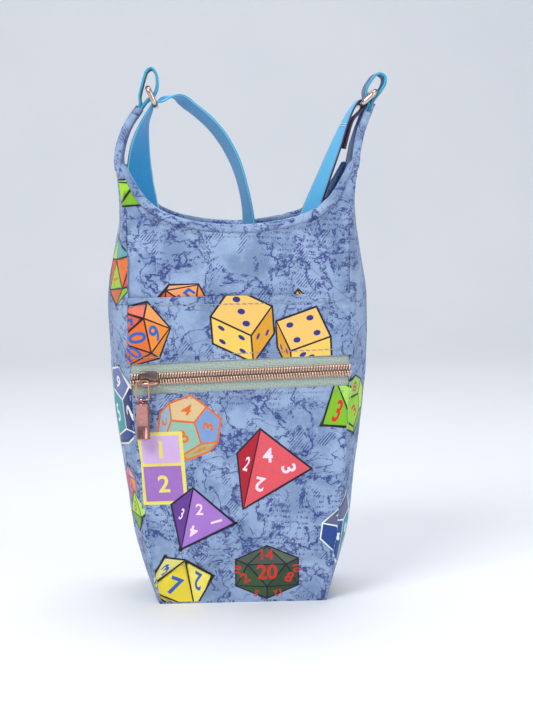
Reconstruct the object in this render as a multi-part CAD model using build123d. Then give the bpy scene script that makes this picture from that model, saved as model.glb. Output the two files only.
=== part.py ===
"""Small boxed fabric shoulder bag: front zip pocket with slip pocket, webbing loops, rings and strap.

Millimetres. +Z is up, the front of the bag faces -Y, +X is to the right seen from the front.
The origin is under the middle of the base, on the surface that the bag stands on.
"""
from build123d import *
import math
import os

# ---- driving dimensions of the body ----
TAB_TOP = 251.0
RIM_LOW = 191.0
RIM_TIP = 232.0
WALL_FOOT = 1.0
# (height, half width at the front and back seams)
SEAM_HALF_WIDTH = (
    (0, 42.5), (26, 47.5), (65, 51.5), (115, 55.5), (157, 56.5),
    (191, 56.6), (209, 58.0), (227, 60.8), (239, 61.8), (251, 60.2),
)
# (height, half depth at the seams)
SEAM_HALF_DEPTH = (
    (0, 27), (40, 31), (90, 33), (160, 33), (188, 30.5),
    (208, 24), (226, 16), (240, 11.4), (251, 10.8),
)
# (height, how far the side gussets swell past the seams)
SIDE_SWELL = (
    (0, 2), (30, 6.3), (65, 8), (95, 9.4), (150, 10), (180, 6.2),
    (195, 2.8), (209, 1.8), (226, 1.2), (238, 0.1), (251, 0),
)
# (height, how far the front and back swell past the seams)
FACE_SWELL = ((0, 0), (45, 1.8), (90, 0), (135, 0), (165, 1.2), (200, 1.0), (232, 0))
TAB_LEAN = 10.4
TAB_ROOM = {-1: 3.0, 1: 2.2}
LEAN_START = 220.0

# ---- layers, as distances in from the outer face of the front pocket ----
CLOTH = 0.8
TAPE = (0.85, 1.25)
POCKET_LINING = 0.4
POCKET_LINING_IN = (2.6, 0.95)
FRONT_PANEL_IN = (3.3, 1.6)
HEM_STEP = (132.0, 157.0)
FOAM = 1.5
LINING = 0.5
LAYER_GAP = 0.15
SEAM_GAP = 0.15

# ---- pocket and zip ----
ZIP_CENTRE = 117.5
ZIP_SLOPE = 0.03
ZIP_OPENING = 15.5
TAPE_HALF = 13.0
HEM_HEIGHT = 157.0
HEM_SLOPE = 0.01
COIL_HALF = 3.0
COIL_SLOT = 0.9
COIL_FRONT = -1.3
SLIDER_X = -45.4
SLIDER_LENGTH = 9.4
SLIDER_WIDTH = 7.8
SLIDER_PLATE = 0.8
SLIDER_BACK = (8.4, 7.4, 0.75)
SLIDER_CORNER = 1.6
LIP_IN = 3.35
BRIDGE_WIDTH = 1.4
BRIDGE_THICK = 1.0
BAIL_OUT = 5.2
BAIL_Z = -1.5
BAIL_WIRE = 0.9
BAIL_INNER = 5.2
BAIL_TOP = 1.5
BAIL_DROP = 8.1
FOOT_X = -3.2
FAR_FOOT_X = 3.9
EYE_BORE = 0.51
EYE_WIDTH = 3.2
TUBE_RADIUS = 3.5
TUBE_LENGTH = 18.0

# ---- webbing, rings and strap ----
WEB_WIDTH = 20.0
WEB_THICK = 1.2
LEG_ROOM = {-1: 1.28, 1: 1.16}
RING_WIRE = 2.6
RING_REACH = 9.35
RING_INNER = 21.4
LEFT_RING_PIN = (-43.9, 259.5)
LEFT_RING_ANGLE = 23.3
RIGHT_RING_PIN = (70.2, 256.8)
RIGHT_RING_ANGLE = -48.5
HIDDEN_Y = 17.5
ADJUSTER = (-14.0, 19.0, 82.0)
ADJUSTER_THICK = 2.0
BAR_PITCH = 11.0
MIDDLE_BAR = 0.9
END_BAR = 1.4
HANK_RUNS = 7
HANK_HALF = 30.0
HANK_PITCH = 1.7
HANK_FOOT = 5.2


def blend(table, z):
    """Smooth value of a (height, value) table, flat past its ends."""
    if z <= table[0][0]:
        return table[0][1]
    if z >= table[-1][0]:
        return table[-1][1]
    i = max(k for k in range(len(table) - 1) if table[k][0] <= z)
    (z0, v0), (z1, v1) = table[i], table[i + 1]
    rise = (v1 - v0) / (z1 - z0)
    before = rise if i == 0 else (v0 - table[i - 1][1]) / (z0 - table[i - 1][0])
    last = i + 2 == len(table)
    after = rise if last else (table[i + 2][1] - v1) / (table[i + 2][0] - z1)
    m0 = 0 if before * rise <= 0 else (before + rise) / 2
    m1 = 0 if after * rise <= 0 else (after + rise) / 2
    t = (z - z0) / (z1 - z0)
    h = z1 - z0
    return (
        v0 * (1 + 2 * t) * (1 - t) ** 2
        + h * m0 * t * (1 - t) ** 2
        + v1 * t * t * (3 - 2 * t)
        + h * m1 * t * t * (t - 1)
    )


def ease(low, high, z):
    """0 below low, 1 above high, smooth between."""
    t = min(1.0, max(0.0, (z - low) / (high - low)))
    return t * t * (3 - 2 * t)


def lean(z):
    """Sideways shift of both tabs, which lean to the right."""
    return TAB_LEAN * (max(0.0, z - LEAN_START) / (TAB_TOP - LEAN_START)) ** 2


def stepped(pair, z):
    """A layer's distance in: the first value under the pocket hem, the second above it."""
    return pair[0] + (pair[1] - pair[0]) * ease(*HEM_STEP, z)


def rim(u):
    """Height of the scooped rim at u, from -1 at the left seam to 1 at the right."""
    return RIM_LOW + 14 * u**2 + (RIM_TIP - RIM_LOW - 14) * abs(u) ** 8


def face_point(u, z, depth_in, sign):
    """A point of the front (sign -1) or back (sign 1) wall, depth_in inside its outer face."""
    half = blend(SEAM_HALF_WIDTH, z) - CLOTH - SEAM_GAP
    out = blend(SEAM_HALF_DEPTH, z) + blend(FACE_SWELL, z) * (1 - u * u)
    return (lean(z) + half * u, sign * (out - depth_in), z)


def gusset_point(w, z, depth_in, sign, front_trim=0.0, back_trim=0.0):
    """A point of the left (sign -1) or right (sign 1) gusset; w runs from -1 in front to 1 behind."""
    depth = blend(SEAM_HALF_DEPTH, z)
    y = -depth + front_trim + (w + 1) / 2 * (2 * depth - front_trim - back_trim)
    swell = blend(SIDE_SWELL, z) * (1 - (y / depth) ** 2)
    x = blend(SEAM_HALF_WIDTH, z) + swell - depth_in
    return (lean(z) + sign * x, y, z)


def spread(n):
    """n values from -1 to 1, closer together near the ends."""
    return [math.sin(math.pi / 2 * (2 * i / (n - 1) - 1)) for i in range(n)]


def slab(outer, inner):
    """A closed solid between two grids of points."""
    faces = [Face.make_surface_from_array_of_points(grid) for grid in (outer, inner)]
    pairs = zip(faces[0].edges(), faces[1].edges())
    sides = [Face.make_surface_from_curves(a, b) for a, b in pairs]
    solid = Solid(Shell(faces + sides))
    return solid if solid.volume > 0 else Solid(Shell([-f for f in faces + sides]))


def face_layer(low, high, near, far, sign=-1, columns=19, rows=25):
    """A layer of the front or back wall between the heights low(u) and high(u)."""
    grids = []
    for depth in (near, far):
        grid = []
        for u in spread(columns):
            heights = [low(u) + (high(u) - low(u)) * i / (rows - 1) for i in range(rows)]
            grid.append([face_point(u, z, depth(z), sign) for z in heights])
        grids.append(grid)
    return slab(*grids)


def gusset_layer(top, near, far, sign, front_trim=0.0, back_trim=0.0, columns=9, rows=37):
    """A layer of a side gusset from the foot of the wall up to top."""
    grids = []
    for depth in (near, far):
        grid = []
        for i in range(columns):
            w = 2 * i / (columns - 1) - 1
            heights = [WALL_FOOT + (top - WALL_FOOT) * j / (rows - 1) for j in range(rows)]
            grid.append([
                gusset_point(w, z, depth(z), sign, front_trim, back_trim) for z in heights
            ])
        grids.append(grid)
    return slab(*grids)


def zip_line(u):
    """Height of the zip's centre line at u."""
    return ZIP_CENTRE + ZIP_SLOPE * blend(SEAM_HALF_WIDTH, ZIP_CENTRE) * u


def hem_line(u):
    """Height of the slip pocket's hem at u."""
    return HEM_HEIGHT + HEM_SLOPE * blend(SEAM_HALF_WIDTH, HEM_HEIGHT) * u


def foot_line(u):
    """Height of the foot of the walls."""
    return WALL_FOOT


def flat(value):
    """A layer distance that is the same at every height."""
    return lambda z: value


def tab_room(sign, z):
    """Extra distance in for the lining near the tab's top, where the webbing enters."""
    return TAB_ROOM[sign] * ease(222, 238, z)


# ---- shell ----
def make_front_layers():
    near = lambda z: stepped(FRONT_PANEL_IN, z)
    far = lambda z: near(z) + CLOTH
    foam_in = lambda z: far(z) + LAYER_GAP
    foam_out = lambda z: foam_in(z) + FOAM
    lining_in = lambda z: foam_out(z) + LAYER_GAP
    lining_out = lambda z: lining_in(z) + LINING
    return {
        "front_panel": face_layer(foot_line, rim, near, far),
        "interlining_front": face_layer(foot_line, rim, foam_in, foam_out),
        "lining_front": face_layer(foot_line, rim, lining_in, lining_out),
    }


def make_back_layers():
    foam_in = CLOTH + LAYER_GAP
    lining_in = foam_in + FOAM + LAYER_GAP
    layers = {
        "back_panel": (0, CLOTH),
        "interlining_back": (foam_in, foam_in + FOAM),
        "lining_back": (lining_in, lining_in + LINING),
    }
    return {
        name: face_layer(foot_line, rim, flat(a), flat(b), sign=1)
        for name, (a, b) in layers.items()
    }


def make_gusset_layers(side, sign):
    front_trim = FRONT_PANEL_IN[0] + CLOTH + FOAM + LINING + 4 * LAYER_GAP + SEAM_GAP
    back_trim = CLOTH + FOAM + LINING + 4 * LAYER_GAP + SEAM_GAP
    foam_in = CLOTH + LAYER_GAP
    lining_in = foam_in + FOAM + LAYER_GAP
    lining = lambda z: lining_in + tab_room(sign, z)
    lining_far = lambda z: lining(z) + LINING
    return {
        f"gusset_{side}": gusset_layer(TAB_TOP, flat(0), flat(CLOTH), sign),
        f"interlining_{side}": gusset_layer(
            RIM_TIP + 4, flat(foam_in), flat(foam_in + FOAM), sign, front_trim, back_trim
        ),
        f"lining_{side}": gusset_layer(TAB_TOP - 4, lining, lining_far, sign, front_trim, back_trim),
    }


def rounded_plate(half_x, front, back, low, high, radius):
    """A flat plate with rounded corners between two heights."""
    plate = extrude(RectangleRounded(2 * half_x, front + back, radius), high - low)
    return Pos(0, (back - front) / 2, low) * plate


def make_base_layers():
    half = SEAM_HALF_WIDTH[0][1]
    depth = SEAM_HALF_DEPTH[0][1]
    inside = half - CLOTH - FOAM - LINING - 3 * LAYER_GAP
    front = depth - FRONT_PANEL_IN[0] - CLOTH - FOAM - LINING - 4 * LAYER_GAP
    back = depth - CLOTH - FOAM - LINING - 4 * LAYER_GAP
    board_low = WALL_FOOT + LAYER_GAP
    board_high = board_low + 2.0
    return {
        "base_panel": rounded_plate(half, depth, depth, 0, WALL_FOOT - 0.05, 4),
        "base_board": rounded_plate(inside, front, back, board_low, board_high, 3),
        "lining_base": rounded_plate(
            inside, front, back, board_high + LAYER_GAP, board_high + LAYER_GAP + LINING, 3
        ),
    }


# ---- pocket and zip ----
def make_pocket():
    lower_edge = lambda u: zip_line(u) - ZIP_OPENING / 2
    upper_edge = lambda u: zip_line(u) + ZIP_OPENING / 2
    lining_in = lambda z: stepped(POCKET_LINING_IN, z)
    lining_out = lambda z: lining_in(z) + POCKET_LINING
    lining_top = lambda u: hem_line(u) - 0.5
    return {
        "pocket_lower_panel": face_layer(foot_line, lower_edge, flat(0), flat(CLOTH)),
        "pocket_strip": face_layer(upper_edge, hem_line, flat(0), flat(CLOTH), rows=7),
        "pocket_lining": face_layer(foot_line, lining_top, lining_in, lining_out, rows=17),
    }


def make_zip_tapes():
    slot = COIL_SLOT / 2
    spans = {
        "zip_tape_lower": (-TAPE_HALF, -slot),
        "zip_tape_upper": (slot, TAPE_HALF),
    }
    return {
        name: face_layer(
            lambda u, a=a: zip_line(u) + a, lambda u, b=b: zip_line(u) + b,
            flat(TAPE[0]), flat(TAPE[1]), columns=5, rows=5,
        )
        for name, (a, b) in spans.items()
    }


def make_zip_coils():
    slot = COIL_SLOT / 2
    spans = {"zip_coil_lower": (-COIL_HALF, -slot), "zip_coil_upper": (slot, COIL_HALF)}
    return {
        name: face_layer(
            lambda u, a=a: zip_line(u) + a, lambda u, b=b: zip_line(u) + b,
            flat(COIL_FRONT), flat(TAPE[0] - 0.05), columns=5, rows=3,
        )
        for name, (a, b) in spans.items()
    }


def zip_frame():
    """Where the slider's middle lies: local X along the zip, local Z across it, -Y outwards."""
    half = blend(SEAM_HALF_WIDTH, ZIP_CENTRE)
    z = zip_line(SLIDER_X / half)
    y = -blend(SEAM_HALF_DEPTH, ZIP_CENTRE)
    return Pos(SLIDER_X, y, z) * Rot(0, -math.degrees(math.atan(ZIP_SLOPE)), 0)


def block(x0, x1, out0, out1, z0, z1):
    """A box in the slider's frame; out runs outwards from the pocket's face."""
    size = (x1 - x0, out1 - out0, z1 - z0)
    return Pos((x0 + x1) / 2, -(out0 + out1) / 2, (z0 + z1) / 2) * Box(*size)


def make_slider():
    half, side = SLIDER_LENGTH / 2, SLIDER_WIDTH / 2
    back_half, back_side = SLIDER_BACK[0] / 2, SLIDER_BACK[1] / 2
    top_low = -COIL_FRONT + 0.3
    top_high = top_low + SLIDER_PLATE
    back_near = -TAPE[1] - 0.3
    back_far = back_near - SLIDER_BACK[2]
    bridge_low = BAIL_OUT + BAIL_WIRE / 2 + 0.35
    bridge_high = bridge_low + BRIDGE_THICK
    bridge_z = (BAIL_Z - BRIDGE_WIDTH / 2, BAIL_Z + BRIDGE_WIDTH / 2)
    top_plate = block(-half, half, top_low, top_high, -side, side)
    top_plate = fillet(top_plate.edges().filter_by(Axis.Y), SLIDER_CORNER)
    back_plate = block(-back_half, back_half, back_far, back_near, -back_side, back_side)
    back_plate = fillet(back_plate.edges().filter_by(Axis.Y), SLIDER_CORNER)
    upper_lip = block(-back_half, back_half, 0.05, top_low, LIP_IN, side)
    lower_lip = block(-back_half, back_half, 0.05, top_low, -side, -LIP_IN)
    post = block(-0.6, 3.0, back_near - 0.4, top_low + 0.4, -0.15, 0.15)
    near_foot = block(FOOT_X - 0.5, FOOT_X + 0.5, top_low + 0.2, bridge_high, *bridge_z)
    far_z = (BAIL_Z - 0.9, BAIL_Z + 0.9)
    far_foot = block(FAR_FOOT_X - 0.6, FAR_FOOT_X + 0.6, top_low + 0.2, bridge_high, *far_z)
    bridge = block(FOOT_X - 0.5, FAR_FOOT_X + 0.6, bridge_low, bridge_high, *bridge_z)
    plates = top_plate + back_plate + upper_lip + lower_lip
    return zip_frame() * (plates + post + near_foot + far_foot + bridge)


def bail_pin():
    """Centre of the foot that the bail hangs from, in the slider's frame."""
    return Pos(FOOT_X, -BAIL_OUT, BAIL_Z)


def upright():
    """Turns the slider's frame back to true vertical, so the pull hangs straight down."""
    return Rot(0, math.degrees(math.atan(ZIP_SLOPE)), 0)


def make_bail():
    width = BAIL_INNER + BAIL_WIRE
    height = BAIL_TOP + BAIL_DROP
    plane = Plane(origin=(0, 0, (BAIL_TOP - BAIL_DROP) / 2), z_dir=(0, -1, 0), x_dir=(1, 0, 0))
    path = (plane * RectangleRounded(width, height, 1.4)).wire()
    start = path @ 0
    section = Plane(origin=start, z_dir=path % 0) * Circle(BAIL_WIRE / 2)
    return zip_frame() * bail_pin() * upright() * sweep(section, path)


def make_pull_tube():
    """The metal tube with its flat eye; its own frame is centred on the bail's lower bar."""
    eye = Cylinder(1.05, EYE_WIDTH, rotation=(0, 90, 0))
    neck = Pos(0, 0, -0.9) * Box(EYE_WIDTH, 2.1, 1.8)
    bore = Cylinder(EYE_BORE, BAIL_INNER, rotation=(0, 90, 0))
    body = Pos(0, 0, -1.5 - TUBE_LENGTH / 2) * Cylinder(TUBE_RADIUS, TUBE_LENGTH)
    body = chamfer(body.edges().filter_by(GeomType.CIRCLE), 0.3)
    hollow = Pos(0, 0, -1.5 - TUBE_LENGTH / 2 - 1.5) * Cylinder(TUBE_RADIUS - 0.6, TUBE_LENGTH)
    tube = (eye + neck + body) - hollow - bore
    return zip_frame() * bail_pin() * upright() * Pos(0, 0, -BAIL_DROP) * tube


# ---- webbing ----
def ribbon(stations, width=WEB_WIDTH, thick=WEB_THICK):
    """Webbing through stations of (x, y, z, turn): turn is the angle of its width away from Y."""
    points = [Vector(*s[:3]) for s in stations]
    sections = []
    for i, station in enumerate(stations):
        along = points[min(i + 1, len(points) - 1)] - points[max(i - 1, 0)]
        turn = math.radians(station[3])
        across = Vector(math.sin(turn), math.cos(turn), 0)
        across = (across - along * (across.dot(along) / along.dot(along))).normalized()
        sections.append(Plane(origin=points[i], x_dir=across, z_dir=along) * Rectangle(width, thick))
    return loft(sections, ruled=True)


def smooth_stations(stations, step=5.0):
    """Stations on a smooth curve through the given ones, about step apart."""
    count = len(stations)
    spans = [math.dist(a[:3], b[:3]) for a, b in zip(stations, stations[1:])]
    slopes = [[(q - p) / s for p, q in zip(a, b)] for a, b, s in zip(stations, stations[1:], spans)]
    tangents = [slopes[0]]
    for i in range(1, count - 1):
        before, after = spans[i - 1], spans[i]
        tangents.append([
            (m * after + n * before) / (before + after) for m, n in zip(slopes[i - 1], slopes[i])
        ])
    tangents.append(slopes[-1])
    found = []
    for i, span in enumerate(spans):
        cuts = max(1, round(span / step))
        for k in range(cuts):
            t = k / cuts
            weights = ((1 + 2 * t) * (1 - t) ** 2, span * t * (1 - t) ** 2,
                       t * t * (3 - 2 * t), span * t * t * (t - 1))
            rows = zip(stations[i], tangents[i], stations[i + 1], tangents[i + 1])
            found.append(tuple(sum(w * v for w, v in zip(weights, row)) for row in rows))
    return found + [tuple(stations[-1])]


def make_webbing_loop(sign):
    """A loop of webbing whose two legs are sewn inside the tab's top."""
    leg_depth = WEB_THICK * LEG_ROOM[sign]
    inside = CLOTH + 2.5 * LAYER_GAP + leg_depth / 2
    outer_leg, inner_leg = [], []
    for z in (239.5, 243.5, 247.5, TAB_TOP):
        x = lean(z) + sign * (blend(SEAM_HALF_WIDTH, z) - inside)
        outer_leg.append((x, 0, z, 0))
        inner_leg.append((x - sign * (leg_depth + 0.25), 0, z, 0))
    if sign < 0:
        eye = [(-48.2, 255.5), (-47.0, 260.5), (-45.7, 265), (-44.1, 268.5), (-42.0, 269.6), (-40.3, 268.0)]
        eye += [(-39.3, 264.0), (-39.6, 259.5), (-41.4, 256.0), (-44.6, 253.4)]
    else:
        eye = [(70.1, 253.4), (73.4, 257.6), (75.4, 261.4), (75.2, 264.4), (73.0, 265.9), (70.6, 265.2)]
        eye += [(68.2, 262.4), (66.2, 259.2), (65.6, 256.4), (66.0, 253.6)]
    route = outer_leg + [(x, 0, z, 0) for x, z in eye] + inner_leg[::-1]
    return ribbon(smooth_stations(route, 1.6))


def ring_bar(pin, angle):
    """Centre of the ring's free bar, angle away from straight down, towards +X."""
    turn = math.radians(angle)
    return (pin[0] + RING_REACH * math.sin(turn), pin[1] - RING_REACH * math.cos(turn))


def make_ring(pin, angle):
    """A rectangular ring whose upper bar lies along Y at pin, in the webbing loop."""
    plane = Plane(origin=(0, 0, -RING_REACH / 2), z_dir=(1, 0, 0), x_dir=(0, 1, 0))
    path = (plane * RectangleRounded(RING_INNER + RING_WIRE, RING_REACH, 2.6)).wire()
    section = Plane(origin=path @ 0, z_dir=path % 0) * Circle(RING_WIRE / 2)
    ring = sweep(section, path)
    return Pos(pin[0], 0, pin[1]) * Rot(0, -angle, 0) * ring


def round_bar(bar, radius, first, last, steps):
    """Stations round a bar from the angle first to last, both measured from +X towards +Z."""
    angles = [math.radians(first + (last - first) * i / steps) for i in range(steps + 1)]
    return [(bar[0] + radius * math.cos(a), 0, bar[1] + radius * math.sin(a), 0) for a in angles]


FOLD_RADIUS = RING_WIRE / 2 + 0.35 + WEB_THICK / 2


def make_left_strap():
    """Sewn round the adjuster's middle bar, up over the left ring, and down through the adjuster."""
    x, y, z = ADJUSTER
    wrap = MIDDLE_BAR + 0.75 + WEB_THICK / 2
    layer = WEB_THICK + 0.35
    sewn = []
    for angle in range(-250, 1, 25):
        turn = math.radians(angle)
        sewn.append((x, y + wrap * math.cos(turn), z + wrap * math.sin(turn), 90))
    rise = [
        (x, y + wrap + layer, z + BAR_PITCH, 90), (x, y + wrap + layer, z + 2 * BAR_PITCH, 90),
        (-26, 18.5, 135, 84), (-38, 12, 165, 66), (-45.5, 5, 190, 50), (-49, 2, 213, 38),
        (-48.6, 1, 231, 26), (-45.9, 0.4, 243, 10),
    ]
    fall = [
        (-31, 0.5, 255.6, -12), (-22, 1.5, 250, -18), (-10, 3, 239, -22), (-1, 5, 224, -24), (4, 7, 208, -28),
        (6.5, 9, 191, -36), (4, 14, 160, -62), (-6, y - 0.5, 130, -84), (x, y, z + 2 * BAR_PITCH, -90),
    ]
    for bar, out in ((1, wrap), (0, -wrap - layer), (-1, wrap)):
        for edge in (1.7, -1.7):
            fall.append((x, y + out, z + bar * BAR_PITCH + edge, -90))
    fall += [(x, y, z - 2 * BAR_PITCH, -90), (x, HIDDEN_Y, 27, -90)]
    over = round_bar(ring_bar(LEFT_RING_PIN, LEFT_RING_ANGLE), FOLD_RADIUS, 175, 75, 5)
    return ribbon(sewn + smooth_stations(sewn[-1:] + rise + over + fall)[1:])


def make_right_strap():
    """Folded round the right ring's bar, sewn to itself, and down into the bag."""
    bar = ring_bar(RIGHT_RING_PIN, RIGHT_RING_ANGLE)
    tail = [(53.0, 0, 229, -12), (55.6, 0, 236, -8), (59.4, 0, 243.4, 0)]
    turn = round_bar(bar, FOLD_RADIUS, -25, 150, 6)
    down = [
        (55.4, 0, 241, -6), (51, 0, 230, -12), (45.5, 1.5, 216, -16), (39.5, 4, 200, -21), (34, 9, 180, -34),
        (27, 14, 150, -70), (24, HIDDEN_Y, 110, -90), (24, HIDDEN_Y, 60, -90), (24, HIDDEN_Y, 27, -90),
    ]
    return ribbon(smooth_stations(tail + turn + down, 4.0))


def make_stowed_strap():
    """The spare strap, folded to and fro on its edge at the bottom of the bag."""
    height = WEB_WIDTH - 0.4
    middle = HANK_FOOT + height / 2
    outer = (HANK_PITCH + WEB_THICK) / 2
    bend = Cylinder(outer, height) - Cylinder(outer - WEB_THICK, height)
    hank = Part()
    for run in range(HANK_RUNS):
        y = HIDDEN_Y - HANK_PITCH * run
        hank += Pos(0, y, middle) * Box(2 * HANK_HALF, WEB_THICK, height)
        if run < HANK_RUNS - 1:
            side = 1 if run % 2 == 0 else -1
            half = bend & Pos(side * outer / 2, 0, 0) * Box(outer, 2 * outer, height)
            hank += Pos(side * HANK_HALF, y - HANK_PITCH / 2, middle) * half
    return hank


def make_adjuster():
    """Flat three-bar slide on the strap's hidden run, with the strap through both slots."""
    height = 2 * (BAR_PITCH + END_BAR)
    slot_height = BAR_PITCH - MIDDLE_BAR - END_BAR
    slot = extrude(RectangleRounded(WEB_WIDTH + 1.4, slot_height, 0.8), ADJUSTER_THICK)
    frame = extrude(RectangleRounded(WEB_WIDTH + 7, height, 3), ADJUSTER_THICK)
    for side in (-1, 1):
        frame -= Pos(0, side * (MIDDLE_BAR + slot_height / 2), 0) * slot
    x, y, z = ADJUSTER
    return Pos(x, y + ADJUSTER_THICK / 2, z) * Rot(90, 0, 0) * frame


def node_shapes():
    shapes = {}
    shapes.update(make_front_layers())
    shapes.update(make_back_layers())
    shapes.update(make_gusset_layers("left", -1))
    shapes.update(make_gusset_layers("right", 1))
    shapes.update(make_base_layers())
    shapes.update(make_pocket())
    shapes.update(make_zip_tapes())
    shapes.update(make_zip_coils())
    shapes["zip_slider"] = make_slider()
    shapes["pull_bail"] = make_bail()
    shapes["pull_tube"] = make_pull_tube()
    shapes["webbing_loop_left"] = make_webbing_loop(-1)
    shapes["webbing_loop_right"] = make_webbing_loop(1)
    shapes["ring_left"] = make_ring(LEFT_RING_PIN, LEFT_RING_ANGLE)
    shapes["ring_right"] = make_ring(RIGHT_RING_PIN, RIGHT_RING_ANGLE)
    shapes["strap_left_run"] = make_left_strap()
    shapes["strap_right_run"] = make_right_strap()
    shapes["strap_stowed"] = make_stowed_strap()
    shapes["strap_adjuster"] = make_adjuster()
    return shapes


def main():
    os.makedirs("parts", exist_ok=True)
    for name, shape in node_shapes().items():
        export_step(shape, f"parts/{name}.step")


main()
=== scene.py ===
"""Looks of the small fabric dice bag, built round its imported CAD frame.

Lengths are in millimetres until put() turns them into metres.
"""
import math

import bpy
import numpy as np
from mathutils import Euler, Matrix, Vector, noise
from mathutils.bvhtree import BVHTree
from mathutils.geometry import delaunay_2d_cdt


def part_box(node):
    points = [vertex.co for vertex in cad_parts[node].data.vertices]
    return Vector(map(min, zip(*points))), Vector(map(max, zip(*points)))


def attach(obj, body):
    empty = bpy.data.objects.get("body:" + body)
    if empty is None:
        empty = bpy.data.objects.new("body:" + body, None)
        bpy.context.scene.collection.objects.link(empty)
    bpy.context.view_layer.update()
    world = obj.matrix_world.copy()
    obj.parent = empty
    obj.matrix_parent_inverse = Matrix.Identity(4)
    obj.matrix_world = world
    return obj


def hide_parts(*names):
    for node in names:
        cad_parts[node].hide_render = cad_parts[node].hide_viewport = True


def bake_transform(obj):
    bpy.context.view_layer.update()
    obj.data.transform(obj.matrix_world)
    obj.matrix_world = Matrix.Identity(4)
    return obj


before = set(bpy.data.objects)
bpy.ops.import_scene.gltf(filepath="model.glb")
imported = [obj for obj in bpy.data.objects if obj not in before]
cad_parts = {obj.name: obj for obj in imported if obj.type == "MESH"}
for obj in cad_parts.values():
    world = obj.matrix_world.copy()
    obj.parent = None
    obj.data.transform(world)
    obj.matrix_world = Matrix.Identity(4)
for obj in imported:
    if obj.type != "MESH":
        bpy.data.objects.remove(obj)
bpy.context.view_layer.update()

MM = 0.001
CLOTH = 0.8
SEAM_ROLL = 2.1
UP = np.array((0.0, 0.0, 1.0))
FAR = 200


# ---------------------------------------------------------------- reading the frame
def box(node):
    """A CAD node's lowest and highest corners, in millimetres."""
    return [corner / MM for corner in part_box(node)]


def tree_of(*nodes):
    """A BVH tree of CAD nodes, in millimetres."""
    points, faces = [], []
    for node in nodes:
        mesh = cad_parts[node].data
        base = len(points)
        points += [v.co / MM for v in mesh.vertices]
        faces += [[base + k for k in p.vertices] for p in mesh.polygons]
    return BVHTree.FromPolygons(points, faces)


def cast(tree, origin, direction):
    """Where a ray first meets the tree, or None."""
    return tree.ray_cast(Vector(origin), Vector(direction))[0]


def edge_between(inside, outside, test, steps=14):
    """The value between inside and outside where test stops being true."""
    for _ in range(steps):
        middle = (inside + outside) / 2
        if test(middle):
            inside = middle
        else:
            outside = middle
    return inside


def smoothed(values):
    """Values with facets of the CAD mesh evened out."""
    padded = np.concatenate(([2 * values[0] - values[1]], values, [2 * values[-1] - values[-2]]))
    return (padded[:-2] + 2 * padded[1:-1] + padded[2:]) / 4


class Profile:
    """The bag's shape by height: seam half width, lean, seam half depth and how far walls swell."""

    def __init__(self):
        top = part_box("gusset_left")[1].z / MM - 0.4
        self.z = np.linspace(1.3, top, 84)
        left, right = tree_of("gusset_left"), tree_of("gusset_right")
        depth, seam_l, seam_r, mid_l, mid_r = [], [], [], [], []
        for z in self.z:
            d = edge_between(5, 45, lambda y: cast(left, (-FAR, y, z), (1, 0, 0)))
            depth.append(d)
            seam_l.append(cast(left, (-FAR, d - 0.15, z), (1, 0, 0)).x)
            seam_r.append(cast(right, (FAR, d - 0.15, z), (-1, 0, 0)).x)
            mid_l.append(cast(left, (-FAR, 0, z), (1, 0, 0)).x)
            mid_r.append(cast(right, (FAR, 0, z), (-1, 0, 0)).x)
        seam_l, seam_r, mid_l, mid_r = map(np.array, (seam_l, seam_r, mid_l, mid_r))
        self.depth_t = smoothed(np.array(depth))
        self.half_t = smoothed((seam_r - seam_l) / 2)
        self.lean_t = smoothed((seam_r + seam_l) / 2)
        self.swell_t = smoothed((mid_r - mid_l) / 2 - (seam_r - seam_l) / 2)
        face = tree_of("front_panel", "pocket_lower_panel", "pocket_strip",
                       "zip_tape_upper", "zip_tape_lower")
        front, back = tree_of("front_panel"), tree_of("back_panel")
        out, inset, bulge = [], [], []
        for z, d, m in zip(self.z, self.depth_t, self.lean_t):
            hit = cast(front, (m, -FAR, z), (0, 1, 0))
            if hit:
                out.append(-cast(face, (m, -FAR, z), (0, 1, 0)).y)
                inset.append(out[-1] + hit.y)
                bulge.append(cast(back, (m, FAR, z), (0, -1, 0)).y - d)
            else:
                out.append(out[-1])
                inset.append(0.0)
                bulge.append(bulge[-1])
        self.bulge_t = smoothed(np.array(bulge))
        self.inset_t = smoothed(np.array([d + b - o + i for d, b, o, i in zip(depth, bulge, out, inset)]))

    def at(self, table, z):
        return np.interp(z, self.z, table)

    def half(self, z):
        return self.at(self.half_t, z)

    def lean(self, z):
        return self.at(self.lean_t, z)

    def depth(self, z):
        return self.at(self.depth_t, z)

    def swell(self, z):
        return self.at(self.swell_t, z)

    def bulge(self, z):
        return self.at(self.bulge_t, z)


bag = Profile()
TAB_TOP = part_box("gusset_left")[1].z / MM
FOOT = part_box("front_panel")[0].z / MM


def rim_heights(us):
    """Heights of the front panel's rim over u, which runs from -1 to 1 between the seams."""
    tree = tree_of("front_panel")
    heights = []
    for u in us:
        def hit(z):
            x = bag.lean(z) + u * (bag.half(z) - 1.1)
            return cast(tree, (x, -FAR, z), (0, 1, 0))
        heights.append(edge_between(150, 250, hit))
    return np.array(heights)


RIM_U = np.linspace(-1, 1, 61)
RIM_Z = rim_heights(RIM_U)


def rim(u):
    return np.interp(u, RIM_U, RIM_Z)


RIM_END = 0.955


def rim_cut(u):
    """The rim's height, level past the point where the tab's own edge takes over."""
    return float(rim(math.copysign(min(abs(u), RIM_END), u)))


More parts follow.
